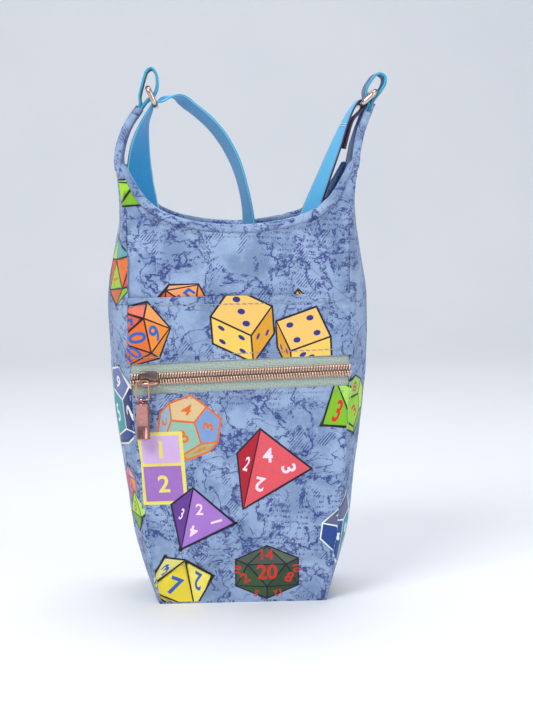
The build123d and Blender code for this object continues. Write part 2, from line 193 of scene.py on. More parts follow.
# the zip's centre line, from its coils, and the pocket's hem
COIL_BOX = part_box("zip_coil_lower")[0] / MM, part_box("zip_coil_upper")[1] / MM
ZIP_ENDS = COIL_BOX[0].x, COIL_BOX[1].x
COIL_HALF = 3.0
ZIP_SLOPE = (COIL_BOX[1].z - COIL_BOX[0].z - 2 * COIL_HALF) / (ZIP_ENDS[1] - ZIP_ENDS[0])
ZIP_MIDDLE = (COIL_BOX[1].z + COIL_BOX[0].z) / 2
ZIP_OPENING = 15.5
HEM_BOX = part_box("pocket_strip")[1] / MM
HEM_SLOPE = 0.01


def zip_z(x):
    return ZIP_MIDDLE + ZIP_SLOPE * x


def hem_z(x):
    return HEM_BOX.z - HEM_SLOPE * (HEM_BOX.x - x)


# ---------------------------------------------------------------- surfaces of the walls
def wave(x, y, size, seed):
    """Smooth noise from -1 to 1 at a feature size in millimetres."""
    return noise.noise(Vector((x / size + seed * 7.3, y / size - seed * 3.1, seed * 1.7)))


def roll_in(distance):
    """How far a sewn edge turns in, distance from the seam."""
    t = np.clip(1 - distance / SEAM_ROLL, 0, 1)
    return 1.5 * (1 - np.sqrt(1 - 0.96 * t * t))


def pucker(distance, along, seed, reach=7.0, size=9.0):
    """Small gathers beside a seam."""
    return 0.8 * math.exp(-distance / reach) * wave(along, distance * 0.2, size, seed)


def fold(x, z, start, end, width, height):
    """A soft ridge (or groove, if height is negative) between two points."""
    ax, az = start
    bx, bz = end
    length = math.hypot(bx - ax, bz - az)
    t = ((x - ax) * (bx - ax) + (z - az) * (bz - az)) / length**2
    off = ((x - ax) * (bz - az) - (z - az) * (bx - ax)) / length
    fade = 1.0 if 0 <= t <= 1 else math.exp(-((max(-t, t - 1) * length / width) ** 2))
    return height * fade * math.exp(-((off / width) ** 2))


FRONT_FOLDS = (
    ((38, 199), (50, 168), 2.2, 1.3), ((43, 202), (55, 176), 1.8, -1.0), ((30, 192), (52, 150), 3.5, 0.9),
    ((-30, 173), (40, 166), 5.0, -1.3), ((-8, 169), (30, 176), 4.0, 0.8), ((-52, 196), (-38, 172), 3.0, 0.8),
    ((-48, 186), (-20, 170), 4.0, 0.7), ((8, 190), (14, 172), 3.0, 0.5), ((-40, 196), (-30, 178), 2.5, 0.5),
)
POCKET_FOLDS = (
    ((-36, 17), (38, 22), 3.0, -0.7), ((-40, 8), (-20, 40), 5.0, 0.6), ((30, 30), (50, 70), 6.0, 0.6),
    ((-48, 60), (-30, 96), 5.0, 0.5), ((10, 100), (40, 90), 5.0, -0.5), ((-10, 60), (20, 36), 7.0, 0.6),
)


def face_bump(x, z, half, seed, folds=()):
    """Outward wrinkles of a front or back panel."""
    edge = half - abs(x)
    low = 0.9 * wave(x, z, 46, seed) + 0.35 * wave(x, z, 17, seed + 1)
    bump = low * min(1.0, max(0.0, edge) / 14)
    bump += pucker(max(edge, 0), z, seed + 2)
    bump += 1.4 * sum(fold(x, z, *f) for f in folds) * min(1.0, max(0.0, edge) / 5)
    return bump - roll_in(edge)


def front_point(x, z, inset=None, bump=0.0, sign=-1):
    """A point of the front (sign -1) or back (sign 1) wall at cloth coordinates x, z."""
    half = bag.half(z)
    u = min(1.0, abs(x) / half)
    out = bag.depth(z) + bag.bulge(z) * (1 - u * u)
    inset = bag.at(bag.inset_t, z) if inset is None else inset
    return (bag.lean(z) + x, sign * (out - inset + bump), z)


def gusset_surface(sign, seed, inset=0.0):
    """The point function of a side gusset; cloth coordinates are y and z."""
    def point(y, z):
        depth = bag.depth(z)
        edge = depth - abs(y)
        t = min(1.0, abs(y) / depth)
        soft = min(1.0, max(0.0, 236 - z) / 30)
        bump = 0.8 * wave(y, z, 40, seed) + 0.4 * wave(y, z, 15, seed + 1)
        bump *= min(1.0, max(edge, 0) / 12) * soft
        bump += pucker(max(edge, 0), z, seed + 2) * (0.3 + 0.7 * soft)
        x = bag.half(z) + bag.swell(z) * (1 - t * t) - inset + bump - roll_in(edge)
        return (bag.lean(z) + sign * x, y, z)
    return point


# ---------------------------------------------------------------- meshes
def put(name, points, faces, body, material, replaces=(), slot=None, smooth=True):
    """A mesh object, from millimetres, that rides on a body."""
    mesh = bpy.data.meshes.new(name)
    mesh.from_pydata([tuple(c * MM for c in p) for p in points], [], [tuple(map(int, f)) for f in faces])
    mesh.materials.append(material)
    mesh.polygons.foreach_set("use_smooth", [smooth] * len(mesh.polygons))
    mesh.validate()
    obj = bpy.data.objects.new(name, mesh)
    bpy.context.scene.collection.objects.link(obj)
    if body:
        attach(obj, body)
    if replaces:
        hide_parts(*replaces)
    return obj


def paint(obj, flat, colours=()):
    """Gives a mesh its cloth map and, on its first corners, printed ink; returns each corner's vertex."""
    mesh = obj.data
    corner = np.zeros(len(mesh.loops), int)
    mesh.loops.foreach_get("vertex_index", corner)
    values = np.zeros((len(corner), 4), np.float32)
    if len(colours):
        values[:len(colours)] = colours
    mesh.uv_layers.new(name="cloth").data.foreach_set("uv", (np.array(flat)[corner] / 100).ravel())
    mesh.color_attributes.new("ink", "FLOAT_COLOR", "CORNER").data.foreach_set("color", values.ravel())
    return corner


def skin(rings, sides, caps=True, flip=False):
    """Faces round a row of point rings, with both ends closed unless told otherwise."""
    faces = []
    for i in range(rings - 1):
        for k in range(sides):
            m = (k + 1) % sides
            faces.append((i * sides + k, i * sides + m, (i + 1) * sides + m, (i + 1) * sides + k))
    if caps:
        faces.append(tuple(range(sides - 1, -1, -1)))
        faces.append(tuple((rings - 1) * sides + k for k in range(sides)))
    return [f[::-1] for f in faces] if flip else faces


def cloth(name, flat, triangles, surface, material, thick=CLOTH, colours=None, outward=None, **keys):
    """A closed cloth piece: flat points and triangles carried onto a surface, with a back and an edge."""
    flat = np.array(flat, float)
    step = 0.4
    top = np.array([surface(s, t) for s, t in flat])
    ds = np.array([surface(s + step, t) for s, t in flat]) - top
    dt = np.array([surface(s, t + step) for s, t in flat]) - top
    normal = np.cross(ds, dt)
    normal /= np.linalg.norm(normal, axis=1)[:, None]
    if normal.mean(0) @ np.array(outward) < 0:
        normal = -normal
    tri = np.array(triangles)
    face_normal = np.cross(top[tri[:, 1]] - top[tri[:, 0]], top[tri[:, 2]] - top[tri[:, 0]])
    flip = (face_normal * normal[tri[:, 0]]).sum(1) < 0
    tri[flip] = tri[flip][:, ::-1]
    count = len(flat)
    used = {}
    for a, b, c in tri:
        for e in ((a, b), (b, c), (c, a)):
            used[e] = used.get(e, 0) + 1
    border = [e for e in used if (e[1], e[0]) not in used]
    points = np.vstack([top, top - normal * thick])
    faces = [tuple(f) for f in tri] + [tuple(f[::-1] + count) for f in tri]
    faces += [(b, a, a + count, b + count) for a, b in border]
    obj = put(name, points, faces, keys.pop("body", "bag"), material, **keys)
    corner = paint(obj, np.vstack([flat, flat]), () if colours is None else np.repeat(colours, 3, axis=0))
    corner_normal = np.vstack([normal, -normal])[corner]
    corner_normal[6 * len(tri):] = 0
    obj.data.normals_split_custom_set([tuple(n) for n in corner_normal])


def grid_triangles(columns, rows):
    """Triangles of a grid whose points run up one column after another."""
    tri = []
    for i in range(columns - 1):
        for j in range(rows - 1):
            n = i * rows + j
            tri += [(n, n + 1, n + rows + 1), (n, n + rows + 1, n + rows)]
    return tri


def grid_sheet(columns, rows, low, high):
    """Flat points and triangles of a grid; low and high give (s, t) ends at each column fraction."""
    flat = []
    for i in range(columns):
        a, b = low(i / (columns - 1)), high(i / (columns - 1))
        for j in range(rows):
            k = j / (rows - 1)
            flat.append((a[0] + (b[0] - a[0]) * k, a[1] + (b[1] - a[1]) * k))
    return flat, grid_triangles(columns, rows)


def inside(points, shape):
    """Which points lie in a polygon."""
    x, y = points[:, 0], points[:, 1]
    found = np.zeros(len(points), bool)
    for (ax, ay), (bx, by) in zip(shape, np.roll(shape, -1, 0)):
        if ay != by:
            found ^= ((ay > y) != (by > y)) & (x < ax + (bx - ax) * (y - ay) / (by - ay))
    return found


def printed_sheet(outline, inks, spacing=2.4):
    """Triangles inside outline with sharp printed shapes: returns flat points, triangles and colours."""
    outline = np.array(outline)
    low, high = outline.min(0), outline.max(0)
    points, edges = [], []
    for shape in [outline] + [np.array([tuple(p) for p in shape]) for _, shape in inks]:
        base, count = len(points), len(shape)
        points += [tuple(p) for p in shape]
        edges += [(base + k, base + (k + 1) % count) for k in range(count)]
    for i in range(int((high[0] - low[0]) / spacing) + 1):
        for j in range(int((high[1] - low[1]) / spacing) + 1):
            shift = spacing / 2 * (j % 2)
            points.append((low[0] + i * spacing + shift, low[1] + j * spacing))
    out, _, tri, _, _, _ = delaunay_2d_cdt([Vector(p) for p in points], edges, [], 0, 1e-4, True)
    out, tri = np.array([tuple(p) for p in out]), np.array([tuple(t) for t in tri])
    a, b, c = out[tri[:, 0]], out[tri[:, 1]], out[tri[:, 2]]
    area = (b[:, 0] - a[:, 0]) * (c[:, 1] - a[:, 1]) - (b[:, 1] - a[:, 1]) * (c[:, 0] - a[:, 0])
    middle = (a + b + c) / 3
    keep = inside(middle, outline) & (abs(area) > 1e-5)
    tri, middle = tri[keep], middle[keep]
    colours = np.zeros((len(tri), 4))
    for colour, shape in inks:
        colours[inside(middle, np.array([tuple(p) for p in shape]))] = (*colour, 1.0)
    used, tri = np.unique(tri, return_inverse=True)
    return out[used], tri.reshape(-1, 3), colours


# ---------------------------------------------------------------- printed dice
def srgb(text):
    """A linear colour from a hex string."""
    parts = [int(text[i:i + 2], 16) / 255 for i in (0, 2, 4)]
    return tuple(c / 12.92 if c <= 0.04045 else ((c + 0.055) / 1.055) ** 2.4 for c in parts)


GOLDEN = (1 + 5**0.5) / 2


def golden_corners(short):
    """Corners of three crossed rectangles, short by the golden ratio in half size."""
    return [p for a in (-short, short) for b in (-GOLDEN, GOLDEN) for p in ((0, a, b), (a, b, 0), (b, 0, a))]


def solid(kind):
    """Corners and outward-ordered faces of a die's solid, of radius 1."""
    cube = [(x, y, z) for x in (-1, 1) for y in (-1, 1) for z in (-1, 1)]
    angles = [math.radians(36 * k) for k in range(10)]
    zigzag = [(math.cos(a), math.sin(a), 0.12 * (-1) ** k) for k, a in enumerate(angles)]
    corners = {
        4: [(1, 1, 1), (1, -1, -1), (-1, 1, -1), (-1, -1, 1)],
        6: cube,
        8: [(1, 0, 0), (-1, 0, 0), (0, 1, 0), (0, -1, 0), (0, 0, 1), (0, 0, -1)],
        10: [(0, 0, 1.15), (0, 0, -1.15)] + zigzag,
        12: cube + golden_corners(1 / GOLDEN),
        20: golden_corners(1),
    }[kind]
    corners = np.array(corners, float)
    corners /= np.linalg.norm(corners, axis=1).max()
    faces = {}
    for i in range(len(corners)):
        for j in range(i + 1, len(corners)):
            for k in range(j + 1, len(corners)):
                n = np.cross(corners[j] - corners[i], corners[k] - corners[i])
                if np.linalg.norm(n) < 1e-6:
                    continue
                n /= np.linalg.norm(n)
                side = (corners - corners[i]) @ n
                if side.max() > 0.02 and side.min() < -0.02:
                    continue
                n = n if side.max() <= 0.02 else -n
                ids = frozenset(np.flatnonzero(abs(side) <= 0.02))
                faces[ids] = n
    ordered = []
    for ids, n in faces.items():
        ids = np.array(sorted(ids))
        centre = corners[ids].mean(0)
        first = corners[ids[0]] - centre
        second = np.cross(n, first)
        turn = np.arctan2((corners[ids] - centre) @ second, (corners[ids] - centre) @ first)
        ordered.append((ids[np.argsort(turn)], n))
    return corners, ordered


SOLIDS = {kind: solid(kind) for kind in (4, 6, 8, 10, 12, 20)}


def glyphs(text):
    """Filled flat polygons of a number, about one unit tall and centred."""
    curve = bpy.data.curves.new("number", "FONT")
    curve.body = text
    curve.fill_mode = "FRONT"
    curve.offset = 0.022
    curve.resolution_u = 3
    curve.align_x, curve.align_y = "CENTER", "CENTER"
    obj = bpy.data.objects.new("number", curve)
    mesh = bpy.data.meshes.new_from_object(obj)
    co = np.array([v.co[:2] for v in mesh.vertices])
    shapes = [co[list(p.vertices)] for p in mesh.polygons]
    bpy.data.objects.remove(obj)
    bpy.data.curves.remove(curve)
    bpy.data.meshes.remove(mesh)
    middle = (co.min(0) + co.max(0)) / 2
    return [(s - middle) / 0.7 for s in shapes]


GLYPHS = {}


def shrink(shape, by):
    """A convex polygon with every side moved in by a distance (out, if negative)."""
    shape = np.array(shape)
    area = sum(a[0] * b[1] - a[1] * b[0] for a, b in zip(shape, np.roll(shape, -1, 0)))
    shape = shape if area > 0 else shape[::-1]
    lines = []
    for a, b in zip(shape, np.roll(shape, -1, 0)):
        d = (b - a) / np.linalg.norm(b - a)
        lines.append((a + by * np.array((-d[1], d[0])), d))
    moved = []
    for (p, d), (q, e) in zip(lines, lines[1:] + lines[:1]):
        cross = d[0] * e[1] - d[1] * e[0]
        t = ((q - p)[0] * e[1] - (q - p)[1] * e[0]) / cross if abs(cross) > 0.02 else 0
        moved.append(p + d * t)
    moved = [c + (m - c) * min(1, 2 * abs(by) / max(1e-6, np.linalg.norm(m - c)))
             for m, c in zip(moved, np.roll(shape, -1, 0))]
    centre = shape.mean(0)
    if by > 0 and any((m - centre) @ (s - centre) <= 0 for m, s in zip(np.roll(moved, 1, 0), shape)):
        return None
    return moved


def turn_of(a, b, c):
    """Twice the area of a flat triangle, above 0 if it runs counter-clockwise."""
    return (b[0] - a[0]) * (c[1] - a[1]) - (b[1] - a[1]) * (c[0] - a[0])


def outline_hull(points):
    """Convex hull of flat points."""
    points = sorted({(round(float(p[0]), 3), round(float(p[1]), 3)) for p in points})
    chains = []
    for run in (points, points[::-1]):
        chain = []
        for p in run:
            while len(chain) > 1 and turn_of(chain[-2], chain[-1], p) <= 1e-9:
                chain.pop()
            chain.append(p)
        chains.append(chain[:-1])
    return chains[0] + chains[1]


def directions(turn):
    """Flat directions to the right and up, turned by an angle in degrees."""
    a = math.radians(turn)
    return np.array((math.cos(a), math.sin(a))), np.array((-math.sin(a), math.cos(a)))


def number_on(inks, text, centre, right, up, size, colour):
    """Adds a number, drawn in a face's own directions."""
    if text not in GLYPHS:
        GLYPHS[text] = glyphs(text)
    for shape in GLYPHS[text]:
        inks.append((colour, [centre + right * (p[0] * size) + up * (p[1] * size) for p in shape]))


def tint(colour, amount):
    """A colour mixed towards white (above 0) or black (below 0)."""
    target = 1.0 if amount > 0 else 0.0
    return tuple(c + (target - c) * abs(amount) for c in colour)


def faces_inks(inks, faces, look, labels, width, size):
    """Adds an outline, inset faces and numbers for a die's visible faces (polygon, right, up, light)."""
    fill, line, number = look
    hull = outline_hull([p for f in faces for p in f[0]])
    inks.append((line, shrink(hull, -width * 0.6)))
    for k, (shape, right, up, light) in enumerate(faces):
        inner = shrink(shape, width / 2)
        if inner is None:
            continue
        inks.append((tint(fill[k % len(fill)], 0.5 * (light - 0.75)), inner))
        if k < len(labels) and labels[k] != "-":
            centre = np.mean(shape, axis=0)
            number_on(inks, labels[k], centre, right, up, size, number)


def die(inks, kind, centre, radius, turn, look, labels="", width=0.9, size=0.55):
    """A printed picture of a numbered die: kind faces, turned by three angles in degrees."""
    corners, faces = SOLIDS[kind]
    spin = np.array(Euler([math.radians(a) for a in turn]).to_matrix())
    corners = corners @ spin.T
    centre = np.array(centre, float)
    seen = []
    for ids, n in faces:
        n = spin @ n
        if n[2] < 0.12:
            continue
        middle = corners[ids].mean(0)
        up = corners[ids[0]] - middle if kind != 6 else (corners[ids[0]] + corners[ids[1]]) / 2 - middle
        up /= np.linalg.norm(up)
        right = np.cross(up, n)
        shape = [centre + radius * c[:2] for c in corners[ids]]
        seen.append((n[2], (shape, right[:2], up[:2], 0.55 + 0.45 * n[1] + 0.1 * n[2])))
    seen.sort(key=lambda s: -s[0])
    faces_inks(inks, [s[1] for s in seen], look, labels.split(), width, radius * size)


def box_die(inks, corner, sides, look, labels="", pips=(), width=0.9, size=5.0):
    """A cube seen from a corner: its near corner and the flat directions of the three edges from it."""
    corner = np.array(corner, float)
    sides = [np.array(s, float) for s in sides]
    faces = []
    for (i, j), light in zip(((0, 1), (0, 2), (1, 2)), (0.95, 0.8, 0.55)):
        a, b = sides[i], sides[j]
        if abs(a[0] * b[1] - a[1] * b[0]) < 20:
            continue
        shape = [corner, corner + a, corner + a + b, corner + b]
        up = b / np.linalg.norm(b) * (1 if b[1] > 0 else -1)
        right = a / np.linalg.norm(a) * (1 if a[0] > 0 else -1)
        faces.append((shape, right, up, light))
    faces_inks(inks, faces, look, labels.split(), width, size)
    for (shape, _, _, _), spots in zip(faces, pips):
        a, b = shape[1] - shape[0], shape[3] - shape[0]
        for s, t in spots:
            ring = [(math.cos(k * math.pi / 6), math.sin(k * math.pi / 6)) for k in range(12)]
            middle = shape[0] + a * s + b * t
            inks.append((look[2], [middle + a * (0.085 * c) + b * (0.085 * d) for c, d in ring]))


def emblem_die(inks, centre, reach, look):
    """A twenty-sided die seen square on, with a triangle in the middle and its three neighbours."""
    def spoke(angle, across, along):
        a = math.radians(angle)
        return np.array((centre[0] + across * math.sin(a), centre[1] + along * math.cos(a)))

    top, right_up, right_down, bottom, left_down, left_up = (spoke(a, *reach) for a in range(0, 360, 60))
    low, left, right = (spoke(a, 0.62 * reach[0], 0.56 * reach[1]) for a in (180, 300, 60))
    faces = [
        ((low, left, right), 0), ((left, right, top), 0), ((left, low, left_down), 120),
        ((right, low, right_down), -120), ((left, top, left_up), 40), ((right, top, right_up), -40),
        ((left, left_up, left_down), 80), ((right, right_up, right_down), -80),
        ((low, left_down, bottom), 150), ((low, right_down, bottom), -150),
    ]
    made = []
    for shape, turn in faces:
        light = 0.95 - 0.012 * (centre[1] + reach[1] - np.mean(shape, axis=0)[1])
        made.append((list(shape), *directions(turn * 0.2), light))
    faces_inks(inks, made, look, ["20"], 0.8, 7.5)
    marks = (("14", 0, 0.66, 0), ("2", -0.62, -0.2, 30), ("8", 0.62, -0.2, -30), ("18", -0.82, 0.12, 80),
             ("10", 0.82, 0.12, -80), ("5", -0.3, -0.8, 160), ("12", 0.3, -0.8, -160))
    for text, x, y, turn in marks:
        middle = np.array((centre[0] + x * reach[0], centre[1] + y * reach[1]))
        size = 5.4 if abs(x) < 0.7 and y > -0.5 else 3.4
        number_on(inks, text, middle, *directions(turn), size, look[2])


def wedge_die(inks, top, right, bottom, left, look, labels, size):
    """A pointed die seen as a wide right face and a narrow left one."""
    top, right, bottom, left = (np.array(p, float) for p in (top, right, bottom, left))
    faces = []
    for shape, tilt, light in (((top, right, bottom), 0.0, 0.9), ((top, left, bottom), 0.35, 0.6)):
        across = np.array((math.cos(tilt), -math.sin(tilt))) * (1.0 if tilt == 0 else 0.5)
        faces.append((list(shape), across, np.array((math.sin(tilt), math.cos(tilt))), light))
    faces_inks(inks, faces, look, labels.split()[:2], 0.9, size)
    spots = ((0.22, 0.22, 0.56, 0), (0.62, 0.19, 0.19, -75), (0.19, 0.60, 0.21, 165))
    for text, (a, b, c, turn) in zip(labels.split()[2:], spots):
        middle = top * c + right * a + bottom * b
        number_on(inks, text, middle, *directions(turn), size, look[2])


INK_DARK, INK_NAVY, INK_BLUE = srgb("1c1830"), srgb("2b2f86"), srgb("2d62b4")
INK_RED, INK_ORANGE, INK_PALE, INK_CREAM = srgb("cf2a22"), srgb("dc6d12"), srgb("f3d8e6"), srgb("e8e2da")
INK_WHITE, INK_YELLOW = srgb("e6eef2"), srgb("e6d86c")


def look_of(fills, line, number):
    """A die's face colours, outline colour and number colour."""
    return [srgb(fill) for fill in fills.split()], line, number


ORANGE = look_of("e8742a e2521f ef8f2c", INK_DARK, INK_BLUE)
YELLOW = look_of("efb93f f3c655 e3a42e", INK_DARK, INK_NAVY)
PASTEL = look_of("9cc4b4 d3b37c 7f9fd0 8fb3c8 c7c08a", INK_ORANGE, INK_ORANGE)
LAVENDER = look_of("c5a0d4 9c68b8", INK_YELLOW, INK_YELLOW)
PURPLE = look_of("9a5fc0 6a3a96", INK_DARK, INK_PALE)
RED = look_of("d8243a b3152c", INK_DARK, INK_PALE)
LIME = look_of("9fd62c 84c01f b7e048", INK_DARK, INK_RED)
GREEN = look_of("2c4a2a 20381f 38562f", INK_DARK, INK_RED)
TEAL = look_of("2f9aa8 274f9a 1d2c6e", INK_WHITE, INK_WHITE)
LEMON = look_of("f0d83c f6e667 d9cf6a", INK_DARK, INK_BLUE)
MIXED = LIME[0][:1] + ORANGE[0][:2] + TEAL[0][:1], INK_DARK, INK_ORANGE
PIPS_TOP = ((0.25, 0.25), (0.75, 0.75), (0.25, 0.75), (0.75, 0.25))
PIPS_LEFT = ((0.3, 0.3), (0.7, 0.7), (0.5, 0.5))
PIPS_RIGHT = ((0.3, 0.35), (0.7, 0.65))


def upper_inks():
    inks = []
    die(inks, 20, (-29, 148.5), 17, (30, 24, 10), ORANGE, "3 8 5")
    die(inks, 8, (29, 151), 9, (20, 30, 10), YELLOW)
    die(inks, 8, (-55, 208), 10, (10, 40, 60), LIME)
    return inks


def strip_inks():
    inks = []
    die(inks, 20, (-51, 138.5), 17, (8, 20, 14), ORANGE, "0 5 9 10", size=0.5)
    box_die(inks, (5.5, 137), ((-20, 9.8), (10.5, 14.5), (1, -13.5)), YELLOW,
            pips=(PIPS_TOP[:2] + PIPS_LEFT[2:], PIPS_TOP, PIPS_RIGHT))
    box_die(inks, (25, 129), ((20, 7), (-7, 15), (0.5, -13)), YELLOW,
            pips=(PIPS_TOP, PIPS_LEFT, PIPS_RIGHT))
    return inks


def lower_inks():
    inks = []
    die(inks, 12, (-26, 91.5), 16.5, (16, 12, 20), PASTEL, "8 4 3 2 9 1", size=0.42)
    box_die(inks, (-29.5, 73.3), ((-20.5, -0.5), (-1, 15.5), (1.5, -19.5)), LAVENDER,
            "1 2", width=1.6, size=8.5)
    wedge_die(inks, (-24.5, 61), (-4, 42.5), (-31, 29.5), (-35.5, 52.5), PURPLE, "- 3 2 1 4", size=5.6)
    wedge_die(inks, (9.5, 90), (35, 69.5), (0.5, 50), (-2.2, 78), RED, "- 2 4 3 2", size=7)
    wedge_die(inks, (47.5, 114), (64, 106), (57, 90), (40.5, 91.5), LIME, "- 3", size=11)
    die(inks, 8, (-32, 11), 19, (-38, 22, 12), LEMON, "7 2 3 4", size=0.5)
    emblem_die(inks, (12.3, 16), (18.2, 14.2), GREEN)
    die(inks, 10, (58, 36), 22, (70, 20, -10), TEAL, "6 - 4", width=0.7, size=0.4)
    return inks


def mirrored(inks):
    """Inks for a wall whose cloth coordinate runs from right to left when it is looked at."""
    return [(colour, [(-p[0], p[1]) for p in shape]) for colour, shape in inks]


def gusset_inks(right):
    """Dice on a side gusset; the front edge is at negative y."""
    inks = []
    if right:
        die(inks, 12, (-27, 101), 15, (10, 20, 30), LIME, "3 8", size=0.45)
        die(inks, 10, (-25, 38), 20, (70, -20, 10), TEAL, "6 4", size=0.4)
        die(inks, 20, (12, 140), 15, (15, 20, 30), RED, "7 1 13", size=0.36)
        die(inks, 8, (10, 66), 13, (20, 30, 10), PURPLE, "5 2", size=0.5)
        die(inks, 12, (2, 10), 15, (16, 12, 20), PASTEL, "8 4 3", size=0.42)
    else:
        die(inks, 20, (22, 169), 17, (12, 8, 40), MIXED, "7 4", size=0.4)
        die(inks, 12, (18, 101), 21, (14, 20, 10), (TEAL[0], INK_CREAM, INK_CREAM), "5 9 2", size=0.42)
        die(inks, 20, (20, 61), 10, (15, 20, 30), (ORANGE[0], INK_BLUE, INK_BLUE), "4", size=0.4)
        die(inks, 8, (24, 48), 11, (20, 30, 10), LIME, "3", size=0.5)
        die(inks, 20, (-14, 130), 15, (15, 20, 30), PURPLE, "8 12", size=0.36)
        die(inks, 12, (-10, 28), 16, (16, 12, 20), PASTEL, "8 4 3", size=0.42)
        die(inks, 8, (3, 221), 13, (20, 10, 30), ORANGE, "4", size=0.4)
        inks = mirrored(inks)
    return inks


def back_inks():
    inks = []
    die(inks, 20, (-20, 150), 19, (0, 4, 20), RED, "20 8 14 2 18 10", size=0.36)
    die(inks, 12, (30, 128), 17, (16, 12, 20), PASTEL, "8 4 3 2", size=0.42)
    box_die(inks, (-30, 100), ((-17, 8), (11, 14), (1, -15)), YELLOW,
            pips=(PIPS_TOP, PIPS_LEFT, PIPS_RIGHT))
    wedge_die(inks, (8, 100), (34, 82), (0, 60), (-3, 86), PURPLE, "4 2 3 2", size=8)
    die(inks, 10, (40, 50), 19, (70, 20, -10), TEAL, "6 2 4", size=0.4)
    die(inks, 20, (-36, 52), 18, (15, 20, 30), ORANGE, "5 10 3", size=0.36)
    die(inks, 12, (2, 26), 15, (10, -20, 30), LIME, "3 5 8", size=0.45)
    die(inks, 8, (-44, 12), 13, (20, 30, 10), LAVENDER, "1 2", size=0.5)
    die(inks, 20, (44, 178), 14, (10, 30, 10), GREEN, "12 7 3", size=0.36)
    return mirrored(inks)


# ---------------------------------------------------------------- materials
class Nodes:
    """Short ways to add shader nodes to a material."""

    def __init__(self, name):
        self.material = bpy.data.materials.new(name)
        self.material.use_nodes = True
        self.tree = self.material.node_tree
        self.shader = next(n for n in self.tree.nodes if n.type == "BSDF_PRINCIPLED")

    def add(self, kind, inputs=(), out=0, **settings):
        node = self.tree.nodes.new("ShaderNode" + kind)
        for key, value in settings.items():
            setattr(node, key, value)
        for key, value in dict(inputs).items():
            self.put(node.inputs[key], value)
        return node.outputs[out]

    def math(self, operation, a, b=0.0, c=0.0):
        return self.add("Math", {0: a, 1: b, 2: c}, operation=operation)

    def split(self, vector):
        """The x, y and z of a vector."""
        return self.add("SeparateXYZ", {0: vector}).node.outputs

    def noise(self, vector, scale, detail=2.0, rough=0.5, warp=0.0):
        inputs = {"Vector": vector, "Scale": scale, "Detail": detail, "Roughness": rough, "Distortion": warp}
        return self.add("TexNoise", inputs)

    def mix(self, factor, a, b, blend="MIX"):
        node = self.tree.nodes.new("ShaderNodeMix")
        node.data_type, node.blend_type = "RGBA", blend
        for key, value in ((0, factor), (6, a), (7, b)):
            self.put(node.inputs[key], value)
        return node.outputs[2]

    def step(self, value, low, high, a=0.0, b=1.0):
        """a below low, b above high, smooth between."""
        inputs = {"Value": value, "From Min": low, "From Max": high, "To Min": a, "To Max": b}
        return self.add("MapRange", inputs, interpolation_type="SMOOTHSTEP")

    def band(self, value, centre, width):
        """1 close to centre, 0 further than width from it."""
        away = self.math("ABSOLUTE", self.math("SUBTRACT", value, centre))
        return self.step(away, width * 0.45, width, 1.0, 0.0)

    def place(self, vector, scale=(1, 1, 1), turn=0.0, move=(0, 0, 0)):
        inputs = {"Vector": vector, "Scale": scale, "Rotation": (0, 0, turn), "Location": move}
        return self.add("Mapping", inputs)

    def put(self, socket, value):
        """Links a socket to another one's output, or sets it; a colour of three values gets its fourth."""
        if isinstance(value, bpy.types.NodeSocket):
            self.tree.links.new(value, socket)
        elif socket.type == "RGBA" and len(value) == 3:
            socket.default_value = (*value, 1.0)
        else:
            socket.default_value = value

    def set(self, **values):
        for key, value in values.items():
            self.put(self.shader.inputs[key.replace("_", " ")], value)
        return self.material

    def bump(self, height, strength, distance):
        normal = self.add("Bump", {"Height": height, "Strength": strength, "Distance": distance})
        self.tree.links.new(normal, self.shader.inputs["Normal"])


GROUND, GROUND_DEEP, MAP_INK = srgb("94aacb"), srgb("768db0"), srgb("22327a")
MAP_PALE = srgb("aabdd6")


def woven(n, uv, pitch=0.55):
    """Height of a plain weave, from 0 to 1; pitch is one thread pair in millimetres."""
    turns = 2 * math.pi / (pitch / 100)
    split = n.split(uv)
    warp = n.math("SINE", n.math("MULTIPLY", split[0], turns))
    weft = n.math("SINE", n.math("MULTIPLY", split[1], turns))
    return n.math("MULTIPLY", warp, weft)


def script_rows(n, uv, turn, move):
    """Rows of tiny unreadable scribble, as on an old chart, in scattered blocks."""
    at = n.place(uv, turn=turn, move=move)
    split = n.split(at)
    row = n.math("FRACT", n.math("MULTIPLY", split[1], 36.0))
    in_row = n.band(row, 0.5, 0.3)
    strokes = n.noise(n.place(at, (1.0, 0.38, 1)), 150.0, 1.0, 0.4)
    words = n.noise(n.place(at, (1.0, 0.05, 1)), 30.0, 0.0)
    blocks = n.step(n.noise(at, 2.6, 1.0), 0.56, 0.60)
    mark = n.math("MULTIPLY", n.step(strokes, 0.52, 0.56), n.step(words, 0.40, 0.46))
    return n.math("MULTIPLY", n.math("MULTIPLY", mark, in_row), blocks)


